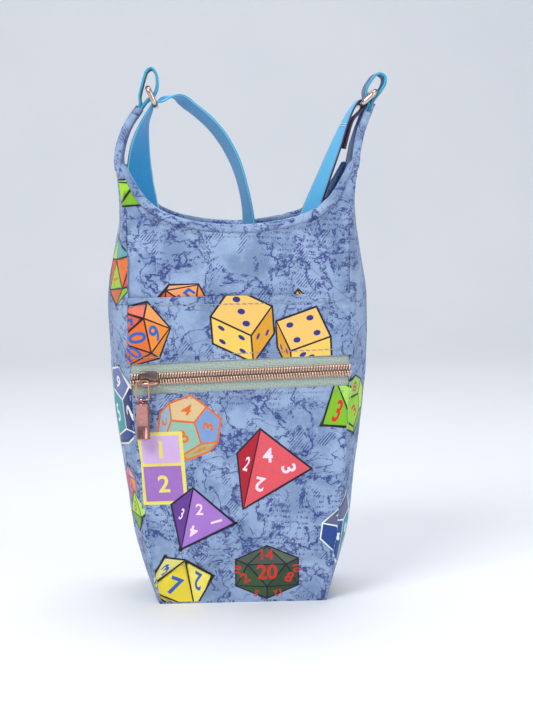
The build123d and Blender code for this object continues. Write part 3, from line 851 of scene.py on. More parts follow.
def map_art(n, uv):
    """How much chart ink lies at a point: coasts, rivers, hachures, blotches, straight lines and scribble."""
    land = n.noise(uv, 3.1, 6.0, 0.62, 0.3)
    coast = n.band(land, 0.5, 0.016)
    shore = n.math("MULTIPLY", n.step(land, 0.5, 0.535, 1.0, 0.0), n.step(land, 0.495, 0.5))
    hatch = n.math("SINE", n.math("MULTIPLY", n.split(uv)[1], 640.0))
    hachure = n.math("MULTIPLY", shore, n.step(hatch, 0.1, 0.6))
    river_field = n.noise(n.place(uv, turn=0.6, move=(3.1, 1.7, 0)), 4.2, 5.0, 0.6, 0.8)
    river = n.math("MULTIPLY", n.band(river_field, 0.47, 0.014), n.step(land, 0.42, 0.5, 1.0, 0.0))
    second = n.math("MULTIPLY", n.band(river_field, 0.56, 0.011), n.step(land, 0.5, 0.56))
    stain_field = n.noise(n.place(uv, turn=1.2, move=(5.0, 2.0, 0)), 9.0, 5.0, 0.72, 0.5)
    stain = n.math("MULTIPLY", n.step(stain_field, 0.60, 0.62), n.step(land, 0.44, 0.50, 1.0, 0.25))
    strokes = n.math("SINE", n.math("MULTIPLY", n.split(n.place(uv, turn=0.7))[0], 520.0))
    relief = n.step(n.noise(n.place(uv, turn=2.0, move=(9.0, 4.0, 0)), 6.5, 6.0, 0.7, 0.6), 0.56, 0.60)
    stain = n.math("MAXIMUM", stain, n.math("MULTIPLY", relief, n.step(strokes, -0.2, 0.5)))
    peaks = {"Vector": n.place(uv, (1, 1.4, 1), 0.2), "Scale": 26.0}
    hills_at = n.add("TexVoronoi", peaks, distance="MANHATTAN")
    hills = n.math("MULTIPLY", n.band(hills_at, 0.30, 0.06), n.step(n.noise(uv, 4.0, 2.0), 0.57, 0.62))
    lines = 0.0
    for turn, gap, shift in ((0.5, 0.9, 0.1), (-0.9, 1.3, 0.4), (1.3, 1.1, 0.8)):
        across = n.split(n.place(uv, turn=turn, move=(shift, 0, 0)))[0]
        near = n.math("ABSOLUTE", n.math("SUBTRACT", n.math("FRACT", n.math("DIVIDE", across, gap)), 0.5))
        line = n.step(near, 0.0011, 0.0024, 0.55, 0.0)
        lines = n.math("MAXIMUM", lines, line)
    ink = coast
    for part in (hachure, river, second, stain, hills, lines,
                 script_rows(n, uv, 0.0, (0.3, 0.1, 0)), script_rows(n, uv, 0.08, (4.3, 2.1, 0))):
        ink = n.math("MAXIMUM", ink, part)
    worn = n.step(n.noise(uv, 30.0, 4.0, 0.7), 0.30, 0.55, 0.35, 1.0)
    return n.math("MULTIPLY", ink, worn)


def printed_cotton():
    n = Nodes("printed_cotton")
    uv = n.add("UVMap", uv_map="cloth")
    cloudy = n.noise(uv, 4.5, 4.0, 0.6)
    ground = n.mix(n.step(cloudy, 0.38, 0.62), GROUND, GROUND_DEEP)
    ground = n.mix(n.step(n.noise(uv, 14.0, 5.0, 0.7), 0.55, 0.75, 0.0, 0.6), ground, MAP_PALE)
    ground = n.mix(n.math("MULTIPLY", map_art(n, uv), 0.9), ground, MAP_INK)
    ink = n.add("VertexColor", layer_name="ink")
    mottled = n.step(n.noise(uv, 22.0, 4.0, 0.7), 0.3, 0.7, -0.16, 0.16)
    painted = n.mix(n.math("ABSOLUTE", mottled), ink, ink, "OVERLAY")
    colour = n.mix(ink.node.outputs[1], ground, painted)
    threads = n.noise(n.place(uv, (1, 0.05, 1)), 420.0, 2.0)
    fibres = n.noise(n.place(uv, (0.05, 1, 1)), 420.0, 2.0)
    grain = n.math("MULTIPLY_ADD", n.math("ADD", threads, fibres), 0.22, 0.78)
    tone = n.add("CombineColor", {0: grain, 1: grain, 2: grain})
    colour = n.mix(1.0, colour, tone, "MULTIPLY")
    n.bump(n.math("ADD", woven(n, uv), n.math("MULTIPLY", threads, 0.8)), 0.35, 0.00012)
    rough = n.step(cloudy, 0.3, 0.7, 0.82, 0.92)
    n.set(Base_Color=colour, Roughness=rough, Sheen_Weight=0.15, Sheen_Roughness=0.5)
    return n.material


def plain_cloth(name, light, dark, pitch=0.5, speck=0.5):
    """Unprinted cloth with a weave and soft mottling."""
    n = Nodes(name)
    uv = n.add("UVMap", uv_map="cloth")
    mottled = n.step(n.noise(uv, 16.0, 5.0, 0.72), 0.42, 0.62)
    speckled = n.step(n.noise(uv, 90.0, 3.0, 0.6), 0.5, 0.7, 0.0, speck)
    colour = n.mix(speckled, n.mix(mottled, light, dark), tint(dark, -0.25))
    n.bump(woven(n, uv, pitch), 0.4, 0.00012)
    n.set(Base_Color=colour, Roughness=0.9, Sheen_Weight=0.2, Sheen_Roughness=0.5)
    return n.material


def tape_cloth():
    """Grey-green zip tape with a fine rib along its length."""
    n = Nodes("zip_tape")
    uv = n.add("UVMap", uv_map="cloth")
    split = n.split(uv)
    rib = n.math("SINE", n.math("MULTIPLY", split[1], 2 * math.pi / 0.0075))
    cross = n.math("SINE", n.math("MULTIPLY", split[0], 2 * math.pi / 0.009))
    wool = n.noise(uv, 120.0, 3.0, 0.7)
    colour = n.mix(n.step(wool, 0.35, 0.65), srgb("b3c0b7"), srgb("98a89d"))
    n.bump(n.math("ADD", rib, n.math("MULTIPLY", cross, 0.7)), 0.5, 0.00015)
    n.set(Base_Color=colour, Roughness=0.88, Sheen_Weight=0.2)
    return n.material


def webbing_cloth(name, face, back, edge):
    """Polypropylene webbing: herringbone ribs, a bright edge and its own colour on the back; the right
    strap's copy instead carries painted shade, a dark navy face and maroon edges.

    The cloth map's first value runs across (0 to 1 is the face, 1 to 2 the back), the second along.
    """
    n = Nodes(name)
    uv = n.add("UVMap", uv_map="cloth")
    split = n.split(uv)
    across, along = split[0], split[1]
    side = n.step(across, 0.995, 1.005)
    on_side = n.math("FRACT", across)
    fold_over = n.math("ABSOLUTE", n.math("SUBTRACT", on_side, 0.5))
    slant = n.math("ADD", n.math("MULTIPLY", along, 2 * math.pi / 0.013),
                   n.math("MULTIPLY", n.math("PINGPONG", on_side, 0.0625), 80.0))
    rib = n.math("SINE", slant)
    at_edge = n.step(fold_over, 0.435, 0.47)
    colour = n.mix(side, face, back)
    colour = n.mix(at_edge, colour, edge)
    shade = n.step(rib, -1.0, 1.0, 0.80, 1.08)
    fuzz = n.step(n.noise(n.place(uv, (20, 4, 1)), 60.0, 3.0, 0.7), 0.3, 0.7, 0.9, 1.06)
    shade = n.math("MULTIPLY", shade, fuzz)
    colour = n.mix(1.0, colour, n.add("CombineColor", {0: shade, 1: shade, 2: shade}), "MULTIPLY")
    n.bump(rib, 0.5, 0.0002)
    n.set(Base_Color=colour, Roughness=0.55, Sheen_Weight=0.25, Sheen_Roughness=0.4)
    return n.material


def metal(name, colour, rough, smear=0.06):
    """Polished or worn plated metal."""
    n = Nodes(name)
    at = n.add("TexCoord", out=3)
    cloud = n.noise(at, 900.0, 3.0, 0.6)
    tone = n.mix(n.step(cloud, 0.35, 0.7), colour, tint(colour, -0.18))
    n.bump(n.noise(at, 2600.0, 2.0), 0.05, 0.00005)
    n.set(Base_Color=tone, Metallic=1.0, Roughness=n.step(cloud, 0.3, 0.7, rough, rough + smear))
    return n.material


def thread(name, colour):
    n = Nodes(name)
    at = n.add("TexCoord", out=3)
    twist = n.noise(at, 2600.0, 2.0)
    n.bump(twist, 0.4, 0.0001)
    shaded = n.mix(n.step(twist, 0.35, 0.65), colour, tint(colour, -0.3))
    n.set(Base_Color=shaded, Roughness=0.7, Sheen_Weight=0.2)
    return n.material


def grainy(name, light, dark, scale, detail, contrast, bump, rough):
    """A plain moulded or felted surface with fine grain."""
    n = Nodes(name)
    grain = n.noise(n.add("TexCoord", out=3), scale, detail, contrast)
    n.bump(grain, bump, 0.0002)
    n.set(Base_Color=n.mix(grain, light, dark), Roughness=rough)
    return n.material


PRINT = printed_cotton()
FOAM = grainy("interlining", srgb("f0ede4"), srgb("dcd8cc"), 1500.0, 4.0, 0.7, 0.5, 0.95)
BOARD = grainy("base_board", srgb("d9d8d2"), srgb("c8c7c0"), 700.0, 3.0, 0.5, 0.2, 0.6)
LINING = plain_cloth("lining", srgb("a9c3e6"), srgb("86a6d6"))
TAPE = tape_cloth()
COIL = metal("zip_coil", srgb("ecc9b4"), 0.26)
DARK_METAL = metal("slider_metal", srgb("8d7a74"), 0.16)
COPPER = metal("copper", srgb("d9a58c"), 0.16)
TUBE_METAL = metal("pull_tube_metal", srgb("c08a83"), 0.08, 0.03)
RING_METAL = metal("ring_metal", srgb("e2c3b2"), 0.14)
ADJUSTER_METAL = metal("adjuster_metal", srgb("b08d7c"), 0.3)
GREY_THREAD = thread("grey_thread", srgb("9aa0ae"))
WHITE_THREAD = thread("white_thread", srgb("e9edf0"))
COIL_THREAD = thread("coil_thread", srgb("cfd6cf"))
WEB_LEFT = webbing_cloth("webbing_left", srgb("30b4ee"), srgb("2ba6e2"), srgb("9beef2"))
# webbing_right is the strap's turquoise webbing with painted shade: its dark navy face paints the shaded
# inside of the fold round the ring, and its maroon edges paint the edges in shade
WEB_RIGHT = webbing_cloth("webbing_right", srgb("1b3560"), srgb("45b9ec"), srgb("6a2347"))
WEB_LOOP = webbing_cloth("webbing_loop", srgb("27aee0"), srgb("1d4f8c"), srgb("7fe0e2"))


# ---------------------------------------------------------------- walls
def wall_outline(bottom, top, columns=49):
    """Outline of a front or back panel between two height functions of u."""
    us = [math.sin(math.pi / 2 * (2 * i / (columns - 1) - 1)) for i in range(columns)]
    low = [(u * bag.half(bottom(u)), bottom(u)) for u in us]
    high = [(u * bag.half(top(u)), top(u)) for u in us]
    right = [(bag.half(z), z) for z in np.arange(low[-1][1] + 2.4, high[-1][1] - 1.2, 2.4)]
    left = [(-bag.half(z), z) for z in np.arange(low[0][1] + 2.4, high[0][1] - 1.2, 2.4)]
    return low + right + high[::-1] + left[::-1]


def panel(name, node, outline, inks, surface, outward):
    """A printed panel that stands for a CAD node."""
    flat, tri, colours = printed_sheet(outline, inks)
    cloth(name, flat, tri, surface, PRINT, colours=colours, outward=outward,
          replaces=[node], slot="cotton_print")


def make_front():
    def upper(x, z):
        bump = face_bump(x, z, bag.half(z), 1, FRONT_FOLDS)
        bump *= min(1.0, max(0.05, (z - 140) / 16))
        return front_point(x, z, None, bump)

    outline = wall_outline(lambda u: FOOT, rim_cut)
    panel("front_panel_cloth", "front_panel", outline, upper_inks(), upper, (0, -1, 0))

    def pocket(x, z):
        bump = face_bump(x, z, bag.half(z), 5, POCKET_FOLDS)
        calm = min(1.0, abs(z - zip_z(x)) / 22)
        return front_point(x, z, 0.0, bump * (0.15 + 0.85 * calm))

    def zip_edge(side):
        return lambda u: zip_z(u * bag.half(ZIP_MIDDLE)) + side * ZIP_OPENING / 2

    outline = wall_outline(lambda u: FOOT, zip_edge(-1))
    panel("pocket_lower_cloth", "pocket_lower_panel", outline, lower_inks(), pocket, (0, -1, 0))
    outline = wall_outline(zip_edge(1), lambda u: hem_z(u * bag.half(150)))
    panel("pocket_strip_cloth", "pocket_strip", outline, strip_inks(), pocket, (0, -1, 0))
    return upper, pocket


def make_back():
    def back(x, z):
        return front_point(x, z, 0.0, face_bump(x, z, bag.half(z), 9), sign=1)

    outline = wall_outline(lambda u: FOOT, rim_cut)
    panel("back_panel_cloth", "back_panel", outline, back_inks(), back, (0, 1, 0))
    return back


def make_gusset(side, sign, seed):
    surface = gusset_surface(sign, seed)
    heights = np.arange(FOOT, TAB_TOP, 2.5)
    front_edge = [(-bag.depth(z), z) for z in heights] + [(-bag.depth(TAB_TOP), TAB_TOP - 0.1)]
    outline = front_edge + [(-y, z) for y, z in front_edge[::-1]]
    panel(f"gusset_{side}_cloth", f"gusset_{side}", outline, gusset_inks(sign > 0), surface, (sign, 0, 0))
    return surface


def level_end(reach, z):
    """A level end of a grid, from -reach to reach."""
    return lambda k: ((2 * k - 1) * reach, z)


def rim_end(margin, drop):
    """An end of a grid that follows the rim, drop below it and margin short of the seams."""
    def end(k):
        u = 2 * k - 1
        z = rim_cut(u) - drop
        return (u * (bag.half(z) - margin), z)
    return end


def base_sheet(node, height, material, thick, sign, slot):
    """A sheet over a node's plan; height gives its z at x and y."""
    low, high = box(node)
    flat, tri = grid_sheet(30, 20, lambda k: (low.x + (high.x - low.x) * k, low.y),
                           lambda k: (low.x + (high.x - low.x) * k, high.y))
    cloth(f"{node}_cloth", flat, tri, lambda x, y: (x, y, height(x, y)), material, thick,
          outward=(0, 0, sign), replaces=[node], slot=slot)


LINING_INSET = 2.75
FELT_INSET = 1.3


def make_linings(walls):
    """Inner cloth of the four walls and the base, a little wrinkled, and the cloth under the base."""
    for name, sign in (("lining_front", -1), ("lining_back", 1)):
        def surface(x, z, name=name, sign=sign):
            edge = bag.half(z) - 1.0 - abs(x)
            bump = 0.4 * wave(x, z, 20, 21 + sign) * min(1.0, max(0.0, edge) / 10)
            wall = walls[name](x, z)
            return (wall[0], wall[1] - sign * (LINING_INSET + bump), z)

        flat, tri = grid_sheet(45, 60, level_end(bag.half(FOOT) - 1.2, FOOT), rim_end(1.2, 0.5))
        flat = [(x * (bag.half(z) - 1.2) / bag.half(z), z) for x, z in flat]
        cloth(name + "_cloth", flat, tri, surface, LINING, 0.5, outward=(0, -sign, 0),
              replaces=[name], slot="cotton_lining")
    for side, sign in (("left", -1), ("right", 1)):
        def surface(y, z, name=f"lining_{side}", sign=sign):
            room = 1.5 * min(1.0, max(0.0, (z - 222) / 16))
            bump = 0.35 * wave(y, z, 18, 27 + sign) * min(1.0, max(0, 236 - z) / 20)
            wall = walls[name](y, z)
            return (wall[0] - sign * (2.8 + room + bump), y, z)

        def trim(z):
            return max(4.0, bag.depth(z) - 3.3)

        rows = np.linspace(FOOT, TAB_TOP - 4, 90)
        flat = [(-trim(z) + 2 * trim(z) * i / 14, z) for i in range(15) for z in rows]
        tri = grid_triangles(15, len(rows))
        cloth(f"lining_{side}_cloth", flat, tri, surface, LINING, 0.5, outward=(-sign, 0, 0),
              replaces=[f"lining_{side}"], slot="cotton_lining")
    top = box("lining_base")[1].z
    base_sheet("lining_base", lambda x, y: top + 0.15 * wave(x, y, 12, 31), LINING, 0.4, 1, "cotton_lining")
    base_sheet("base_panel", lambda x, y: 0.0, PRINT, 0.9, -1, "cotton_print")


def make_interlinings(upper, back, left, right):
    """Felt between the outer cloth and the lining, which follows every wrinkle of the cloth."""
    def behind(surface, away):
        def point(s, t):
            x, y, z = surface(s, t)
            return (x - away[0] * FELT_INSET, y - away[1] * FELT_INSET, z)
        return point

    wall = grid_sheet(45, 60, level_end(bag.half(FOOT) - 3.4, FOOT + 2), rim_end(3.4, 6))
    rows = np.linspace(FOOT + 2, 226, 80)
    narrow = [((bag.depth(z) - 4) * (i / 7 - 1), z) for i in range(15) for z in rows]
    side = narrow, grid_triangles(15, len(rows))
    pieces = {"front": (wall, upper, (0, -1)), "back": (wall, back, (0, 1)),
              "left": (side, left, (-1, 0)), "right": (side, right, (1, 0))}
    for name, (sheet, surface, away) in pieces.items():
        cloth(f"interlining_{name}_felt", *sheet, behind(surface, away), FOAM, 0.7, outward=(*away, 0),
              replaces=[f"interlining_{name}"], slot="interlining")


def make_pocket_lining():
    def surface(x, z):
        inset = 2.75 + (bag.at(bag.inset_t, z) - 3.3)
        return front_point(x, z, inset + 0.1 * wave(x, z, 14, 33), 0.0)

    flat, tri = grid_sheet(40, 50, level_end(bag.half(FOOT) - 1.3, FOOT),
                           level_end(bag.half(150) - 1.3, hem_z(0) - 1.5))
    cloth("pocket_lining_cloth", flat, tri, surface, LINING, 0.35, outward=(0, -1, 0),
          replaces=["pocket_lining"], slot="cotton_lining")


# ---------------------------------------------------------------- strips, tubes and stitches
def tube(points, radius, sides=8, squash=1.0, normal=UP):
    """Points and faces of a round bar through points; squash flattens it along the given normal."""
    points = np.array(points, float)
    count = len(points)
    radius = np.broadcast_to(radius, (count,))
    ahead = np.roll(points, -1, 0) - np.roll(points, 1, 0)
    ahead[0], ahead[-1] = points[1] - points[0], points[-1] - points[-2]
    ahead /= np.linalg.norm(ahead, axis=1)[:, None]
    normals = np.broadcast_to(np.array(normal, float), points.shape)
    across = np.cross(ahead, normals)
    across /= np.linalg.norm(across, axis=1)[:, None]
    lift = np.cross(across, ahead)
    rings = []
    for p, a, b, r in zip(points, across, lift, radius):
        for k in range(sides):
            t = 2 * math.pi * k / sides
            rings.append(p + a * (r * math.cos(t)) + b * (r * squash * math.sin(t)))
    return rings, skin(count, sides)


def merged(parts):
    """Several (points, faces) as one."""
    points, faces = [], []
    for p, f in parts:
        base = len(points)
        points += list(p)
        faces += [tuple(base + k for k in face) for face in f]
    return points, faces


def stitches(name, path, lift, material, stitch=2.3, gap=0.8, radius=0.24, body="bag"):
    """A row of sewn stitches along path; lift gives the outward direction at a point."""
    path = np.array(path, float)
    lengths = np.concatenate(([0], np.cumsum(np.linalg.norm(np.diff(path, axis=0), axis=1))))
    parts = []
    at = gap / 2
    while at + stitch < lengths[-1]:
        middle = [np.array([np.interp(at + stitch * k, lengths, path[:, c]) for c in range(3)])
                  for k in (0.0, 0.12, 0.5, 0.88, 1.0)]
        out = np.array(lift(middle[2]), float)
        rise = (-0.15, 0.12, 0.2, 0.12, -0.15)
        line = [m + out * h for m, h in zip(middle, rise)]
        parts.append(tube(line, [radius * s for s in (0.5, 0.9, 1.0, 0.9, 0.5)], 6, normal=out))
        at += stitch + gap
    points, faces = merged(parts)
    return put(name, points, faces, body, material)


def make_stitching(upper, pocket, back):
    forward, backward = lambda p: (0, -1, 0), lambda p: (0, 1, 0)

    def row(surface, height, us):
        path = []
        for u in us:
            z = height(u)
            path.append(surface(u * bag.half(z), z))
        return path

    span = np.linspace(-0.975, 0.975, 90)
    wide = np.linspace(-0.93, 0.93, 110)
    stitches("hem_stitching", row(pocket, lambda u: hem_z(u * 56) - 4.0, span), forward, GREY_THREAD)
    for name, side, off in (("upper", 1, 3.0), ("lower", -1, 2.6)):
        stitches(f"zip_stitching_{name}", row(
            pocket, lambda u: zip_z(u * 55) + side * (ZIP_OPENING / 2 + off), span), forward, GREY_THREAD)
    stitches("rim_stitching_front", row(upper, lambda u: float(rim(u)) - 5.2, wide), forward, GREY_THREAD)
    stitches("rim_stitching_back", row(back, lambda u: float(rim(u)) - 5.2, wide), backward, GREY_THREAD)


def make_tab_stitching(left, right):
    """Rows across both tabs that hold the webbing."""
    for side, surface, sign in (("left", left, -1), ("right", right, 1)):
        for k, z in enumerate((247.5, 241.0)):
            reach = bag.depth(z) - 1.8
            row = [surface(y, z) for y in np.linspace(-reach, reach, 24)]
            stitches(f"tab_stitching_{side}_{k + 1}", row, lambda p: (sign, 0, 0), WHITE_THREAD)


def make_rims(upper, back):
    """Turned edges that close the outer cloth over the lining along both rims."""
    for name, surface, sign in (("rim_edge_front", upper, -1), ("rim_edge_back", back, 1)):
        stations = []
        for u in [RIM_END * math.sin(math.pi / 2 * t) for t in np.linspace(-1, 1, 150)]:
            z = float(rim(u)) - 0.2
            x = u * (bag.half(z) - 0.4)
            stations.append((np.array(surface(x, z)), u, z))
        parts, flat = [], []
        profile = [(-0.45, -3.2), (-0.62, -1.6), (-0.45, -0.2), (0.15, 0.75), (1.2, 1.15), (2.3, 0.8),
                   (3.0, -0.1), (3.25, -1.4), (3.1, -3.0), (1.3, -2.2)]
        run = 0.0
        for i, (p, u, z) in enumerate(stations):
            before, after = stations[max(i - 1, 0)][0], stations[min(i + 1, len(stations) - 1)][0]
            along = (after - before) / np.linalg.norm(after - before)
            inward = np.array((0.0, -sign, 0.0))
            inward -= along * (along @ inward)
            inward /= np.linalg.norm(inward)
            rise = np.cross(along, inward) * -sign
            rise = rise if rise[2] > 0 else -rise
            run += np.linalg.norm(after - before) / 2
            ripple = 0.18 * wave(run, 0, 5, 41 + sign)
            reach = 0.25 + 0.75 * min(1.0, 9 * (1 - abs(u) / RIM_END))
            for k, (into, up) in enumerate(profile):
                up = up if up > 0 else up * reach
                parts.append(p + inward * (into + ripple) + rise * (up + ripple))
                flat.append((run, 300 + 1.5 * k))
        faces = skin(len(stations), len(profile))
        paint(put(name, parts, faces, "bag", PRINT, slot="cotton_print"), flat)
        for side in (-1, 1):
            path, spots = [], []
            for z in np.linspace(rim_cut(1) - 3.0, TAB_TOP - (1.0 if side < 0 else 4.0), 18):
                room = 0.7 + 1.6 * min(1.0, max(0.0, (z - 222) / 16))
                path.append((bag.lean(z) + side * (bag.half(z) - room), sign * (bag.depth(z) - 0.35), z))
                spots += [(z, 340 + k * 0.9) for k in range(10)]
            widths = [1.2 + 0.1 * wave(p[2], 0, 4, 43) for p in path]
            points, faces = tube(path, np.array(widths), 10, squash=1.7, normal=(1, 0, 0))
            edge = "left" if side < 0 else "right"
            paint(put(f"{name}_{edge}_tab", points, faces, "bag", PRINT, slot="cotton_print"), spots)


# ---------------------------------------------------------------- zip
def make_zip():
    for side, sign in (("upper", 1), ("lower", -1)):
        def surface(x, t, sign=sign):
            z = zip_z(x) + sign * t
            inset = 0.9 + 0.25 * min(1.0, t / 8)
            return front_point(x, z, inset, 0.04 * wave(x, z, 6, 51))

        def end(t):
            return lambda k: (ZIP_ENDS[0] + (ZIP_ENDS[1] - ZIP_ENDS[0]) * k, t)

        flat, tri = grid_sheet(120, 10, end(0.5), end(12.5))
        cloth(f"zip_tape_{side}_cloth", flat, tri, surface, TAPE, 0.35, outward=(0, -1, 0),
              replaces=[f"zip_tape_{side}"], slot="zip_tape")
        make_coil(side, sign)


COIL_PITCH = 1.35


def make_coil(side, sign):
    """One half of the coil: a flattened spiral whose turns lock between those of the other half."""
    face = -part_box("zip_coil_lower")[0].y / MM
    start, end = ZIP_ENDS
    turns = (end - start) / COIL_PITCH
    path = []
    steps = int(turns * 14)
    for i in range(steps + 1):
        a = 2 * math.pi * turns * i / steps + (math.pi if sign > 0 else 0)
        x = start + (end - start) * i / steps - 0.22 * math.sin(a)
        across = 1.62 - 1.25 * math.cos(a)
        out = 0.62 + 0.62 * math.sin(a)
        path.append((x, -(face - 1.75 + out), zip_z(x) + sign * across))
    points, faces = tube(path, 0.42, 7, normal=(0, 1, 0.01))
    put(f"zip_coil_{side}_spiral", points, faces, "bag", COIL, [f"zip_coil_{side}"], "zip_coil")
    knots = []
    for k in range(int(turns)):
        x = start + COIL_PITCH * (k + 0.5)
        z = zip_z(x) + sign * 3.15
        out = front_point(x, z, 0.62)[1]
        knots.append(tube([(x - 0.42, out, z - 0.1), (x, out - 0.28, z), (x + 0.42, out, z + 0.1)],
                          [0.2, 0.32, 0.2], 6, normal=(0, -1, 0)))
    points, faces = merged(knots)
    put(f"zip_coil_{side}_thread", points, faces, "bag", COIL_THREAD)


def plate(outline, depth, bevel, segments=3):
    """A flat plate with rounded edges: outline in (x, z), from out 0 to depth, outwards is -y."""
    rings = []
    levels = [(0.0, bevel)]
    for k in range(segments + 1):
        a = math.pi / 2 * k / segments
        levels.append((depth - bevel + bevel * math.sin(a), bevel * (1 - math.cos(a))))
    levels.insert(1, (bevel * 0.6, 0.0))
    for out, inward in levels:
        shape = shrink(outline, inward) if inward > 1e-6 else [np.array(p) for p in ordered(outline)]
        rings.append([(p[0], -out, p[1]) for p in rotate_match(shape, outline)])
    return [p for ring in rings for p in ring], skin(len(rings), len(outline))


def ordered(shape):
    """A polygon turned counter-clockwise."""
    area = sum(a[0] * b[1] - a[1] * b[0] for a, b in zip(shape, shape[1:] + shape[:1]))
    return list(shape) if area > 0 else list(shape)[::-1]


def rotate_match(shape, outline):
    """The polygon started at the corner nearest the outline's first."""
    first = np.array(ordered(outline)[0])
    nearest = min(range(len(shape)), key=lambda k: np.linalg.norm(np.array(shape[k]) - first))
    return [shape[(nearest + k) % len(shape)] for k in range(len(shape))]


def lathe(profile, centre, sides=40):
    """A turned piece about a vertical axis: profile of (radius, height), from the top down."""
    points = []
    for r, h in profile:
        for k in range(sides):
            a = 2 * math.pi * k / sides
            points.append((centre[0] + r * math.cos(a), centre[1] + r * math.sin(a), centre[2] + h))
    return points, skin(len(profile), sides, caps=False, flip=True)


def make_slider():
    low, high = box("zip_slider")
    middle = ((low.x + high.x) / 2, 0.0, (low.z + high.z) / 2)
    face = -front_point(middle[0], middle[2], 0.0)[1]
    shape = [(-4.7, -2.6), (-3.4, -3.9), (1.2, -3.9), (3.2, -3.1), (4.7, -2.9), (4.7, 2.9), (3.2, 3.1),
             (1.2, 3.9), (-3.4, 3.9), (-4.7, 2.6)]
    turn = math.atan(ZIP_SLOPE)

    def placed(points, lift):
        return [(middle[0] + x * math.cos(turn) - z * math.sin(turn), -(face + lift) + y,
                 middle[2] + x * math.sin(turn) + z * math.cos(turn)) for x, y, z in points]

    top_points, top_faces = plate(shape, 1.15, 0.45)
    back_points, back_faces = plate([(x * 0.9, z * 0.94) for x, z in shape], 0.7, 0.2)
    flange = []
    for side in (-1, 1):
        rail = [(-4.0, 0, side * 3.55), (-1, 0, side * 3.6), (2.0, 0, side * 3.45), (4.0, 0, side * 3.2)]
        points, faces = tube(rail, 0.42, 8, normal=(0, 1, 0))
        flange.append((placed(points, 0.9), faces))
    post = tube([(0.2, 0.4, 0), (0.2, -3.6, 0)], 0.2, 6, normal=(1, 0, 0))
    points, faces = merged([(placed(top_points, 1.55), top_faces), (placed(back_points, -2.3), back_faces),
                            *flange, (placed(post[0], -1.9), post[1])])
    put("slider_body", points, faces, "slider", DARK_METAL, ["zip_slider"], "slider_metal")
    top = -low.y - face
    path = [(-3.2, -2.4, -1.5), (-3.2, -top + 1.5, -1.5), (-3.0, -top + 0.85, -1.5), (-2.2, -top + 0.5, -1.5),
            (2.6, -top + 0.5, -1.5), (3.5, -top + 0.9, -1.5), (3.9, -top + 1.7, -1.5), (3.9, -2.4, -1.5)]
    widths = [0.5, 0.52, 0.6, 0.62, 0.66, 0.85, 1.0, 1.05]
    bridge = tube(path, widths, 12, normal=(0, 0, 1))
    put("slider_bridge", placed(bridge[0], 0.0), bridge[1], "slider", COPPER, slot="copper_metal")


def make_pull():
    """The turned tube, with the flattened loop at its top that hangs on the bail."""
    low, high = box("pull_tube")
    x, y = (low.x + high.x) / 2, (low.y + high.y) / 2
    radius = (high.x - low.x) / 2
    top = high.z - low.z - 2.55
    profile = [(0.0, top), (radius - 0.9, top), (radius - 0.25, top - 0.06), (radius, top - 0.35),
               (radius, top - 0.7), (radius - 0.12, top - 0.85), (radius - 0.12, 1.1), (radius, 0.9),
               (radius, 0.25), (radius - 0.2, 0.02), (radius - 0.6, 0.1), (radius - 0.75, 0.6),
               (radius - 0.8, top - 1.5), (0.0, top - 1.6)]
    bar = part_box("pull_bail")[0].z / MM + 0.45
    turns = np.linspace(-0.45 * math.pi, 1.45 * math.pi, 22)
    path = [(x, y + 0.8 * math.cos(t), bar + 0.8 * math.sin(t)) for t in turns]
    ring, faces = tube(path, 0.3, 8, normal=(1, 0, 0))
    ring = [((p[0] - x) * 5.0 + x, p[1], p[2]) for p in ring]
    neck = tube([(x, y, bar - 0.8), (x, y, low.z + top - 0.1)], 0.75, 12, normal=(1, 0, 0))
    points, faces = merged([lathe(profile, (x, y, low.z)), (ring, faces), neck])
    put("pull_tube_turned", points, faces, "pull", TUBE_METAL, ["pull_tube"], "copper_metal")


# ---------------------------------------------------------------- webbing
WEB_WIDTH, WEB_THICK = 20.0, 1.2


def smooth_route(route, step=1.2):
    """Evenly spaced stations of (x, y, z, turn) on a smooth curve through the given ones."""
    route = np.array(route, float)
    spans = np.linalg.norm(np.diff(route[:, :3], axis=0), axis=1)
    slopes = np.diff(route, axis=0) / spans[:, None]
    tangents = [slopes[0]]
    for i in range(1, len(route) - 1):
        a, b = spans[i - 1], spans[i]
        tangents.append((slopes[i - 1] * b + slopes[i] * a) / (a + b))
    tangents.append(slopes[-1])
    found = []
    for i, span in enumerate(spans):
        for t in np.arange(0, 1, 1 / max(2, round(span / step))):
            found.append((1 + 2 * t) * (1 - t) ** 2 * route[i] + span * t * (1 - t) ** 2 * tangents[i]
                         + t * t * (3 - 2 * t) * route[i + 1] + span * t * t * (t - 1) * tangents[i + 1])
    return np.array(found + [route[-1]])


def web_frame(stations, i):
    """Position, direction across and outward normal of station i."""
    before, after = stations[max(i - 1, 0)][:3], stations[min(i + 1, len(stations) - 1)][:3]
    along = (after - before) / np.linalg.norm(after - before)
    turn = math.radians(stations[i][3])
    across = np.array((math.sin(turn), math.cos(turn), 0.0))
    across -= along * (across @ along)
    across /= np.linalg.norm(across)
    return stations[i][:3], across, np.cross(along, across)


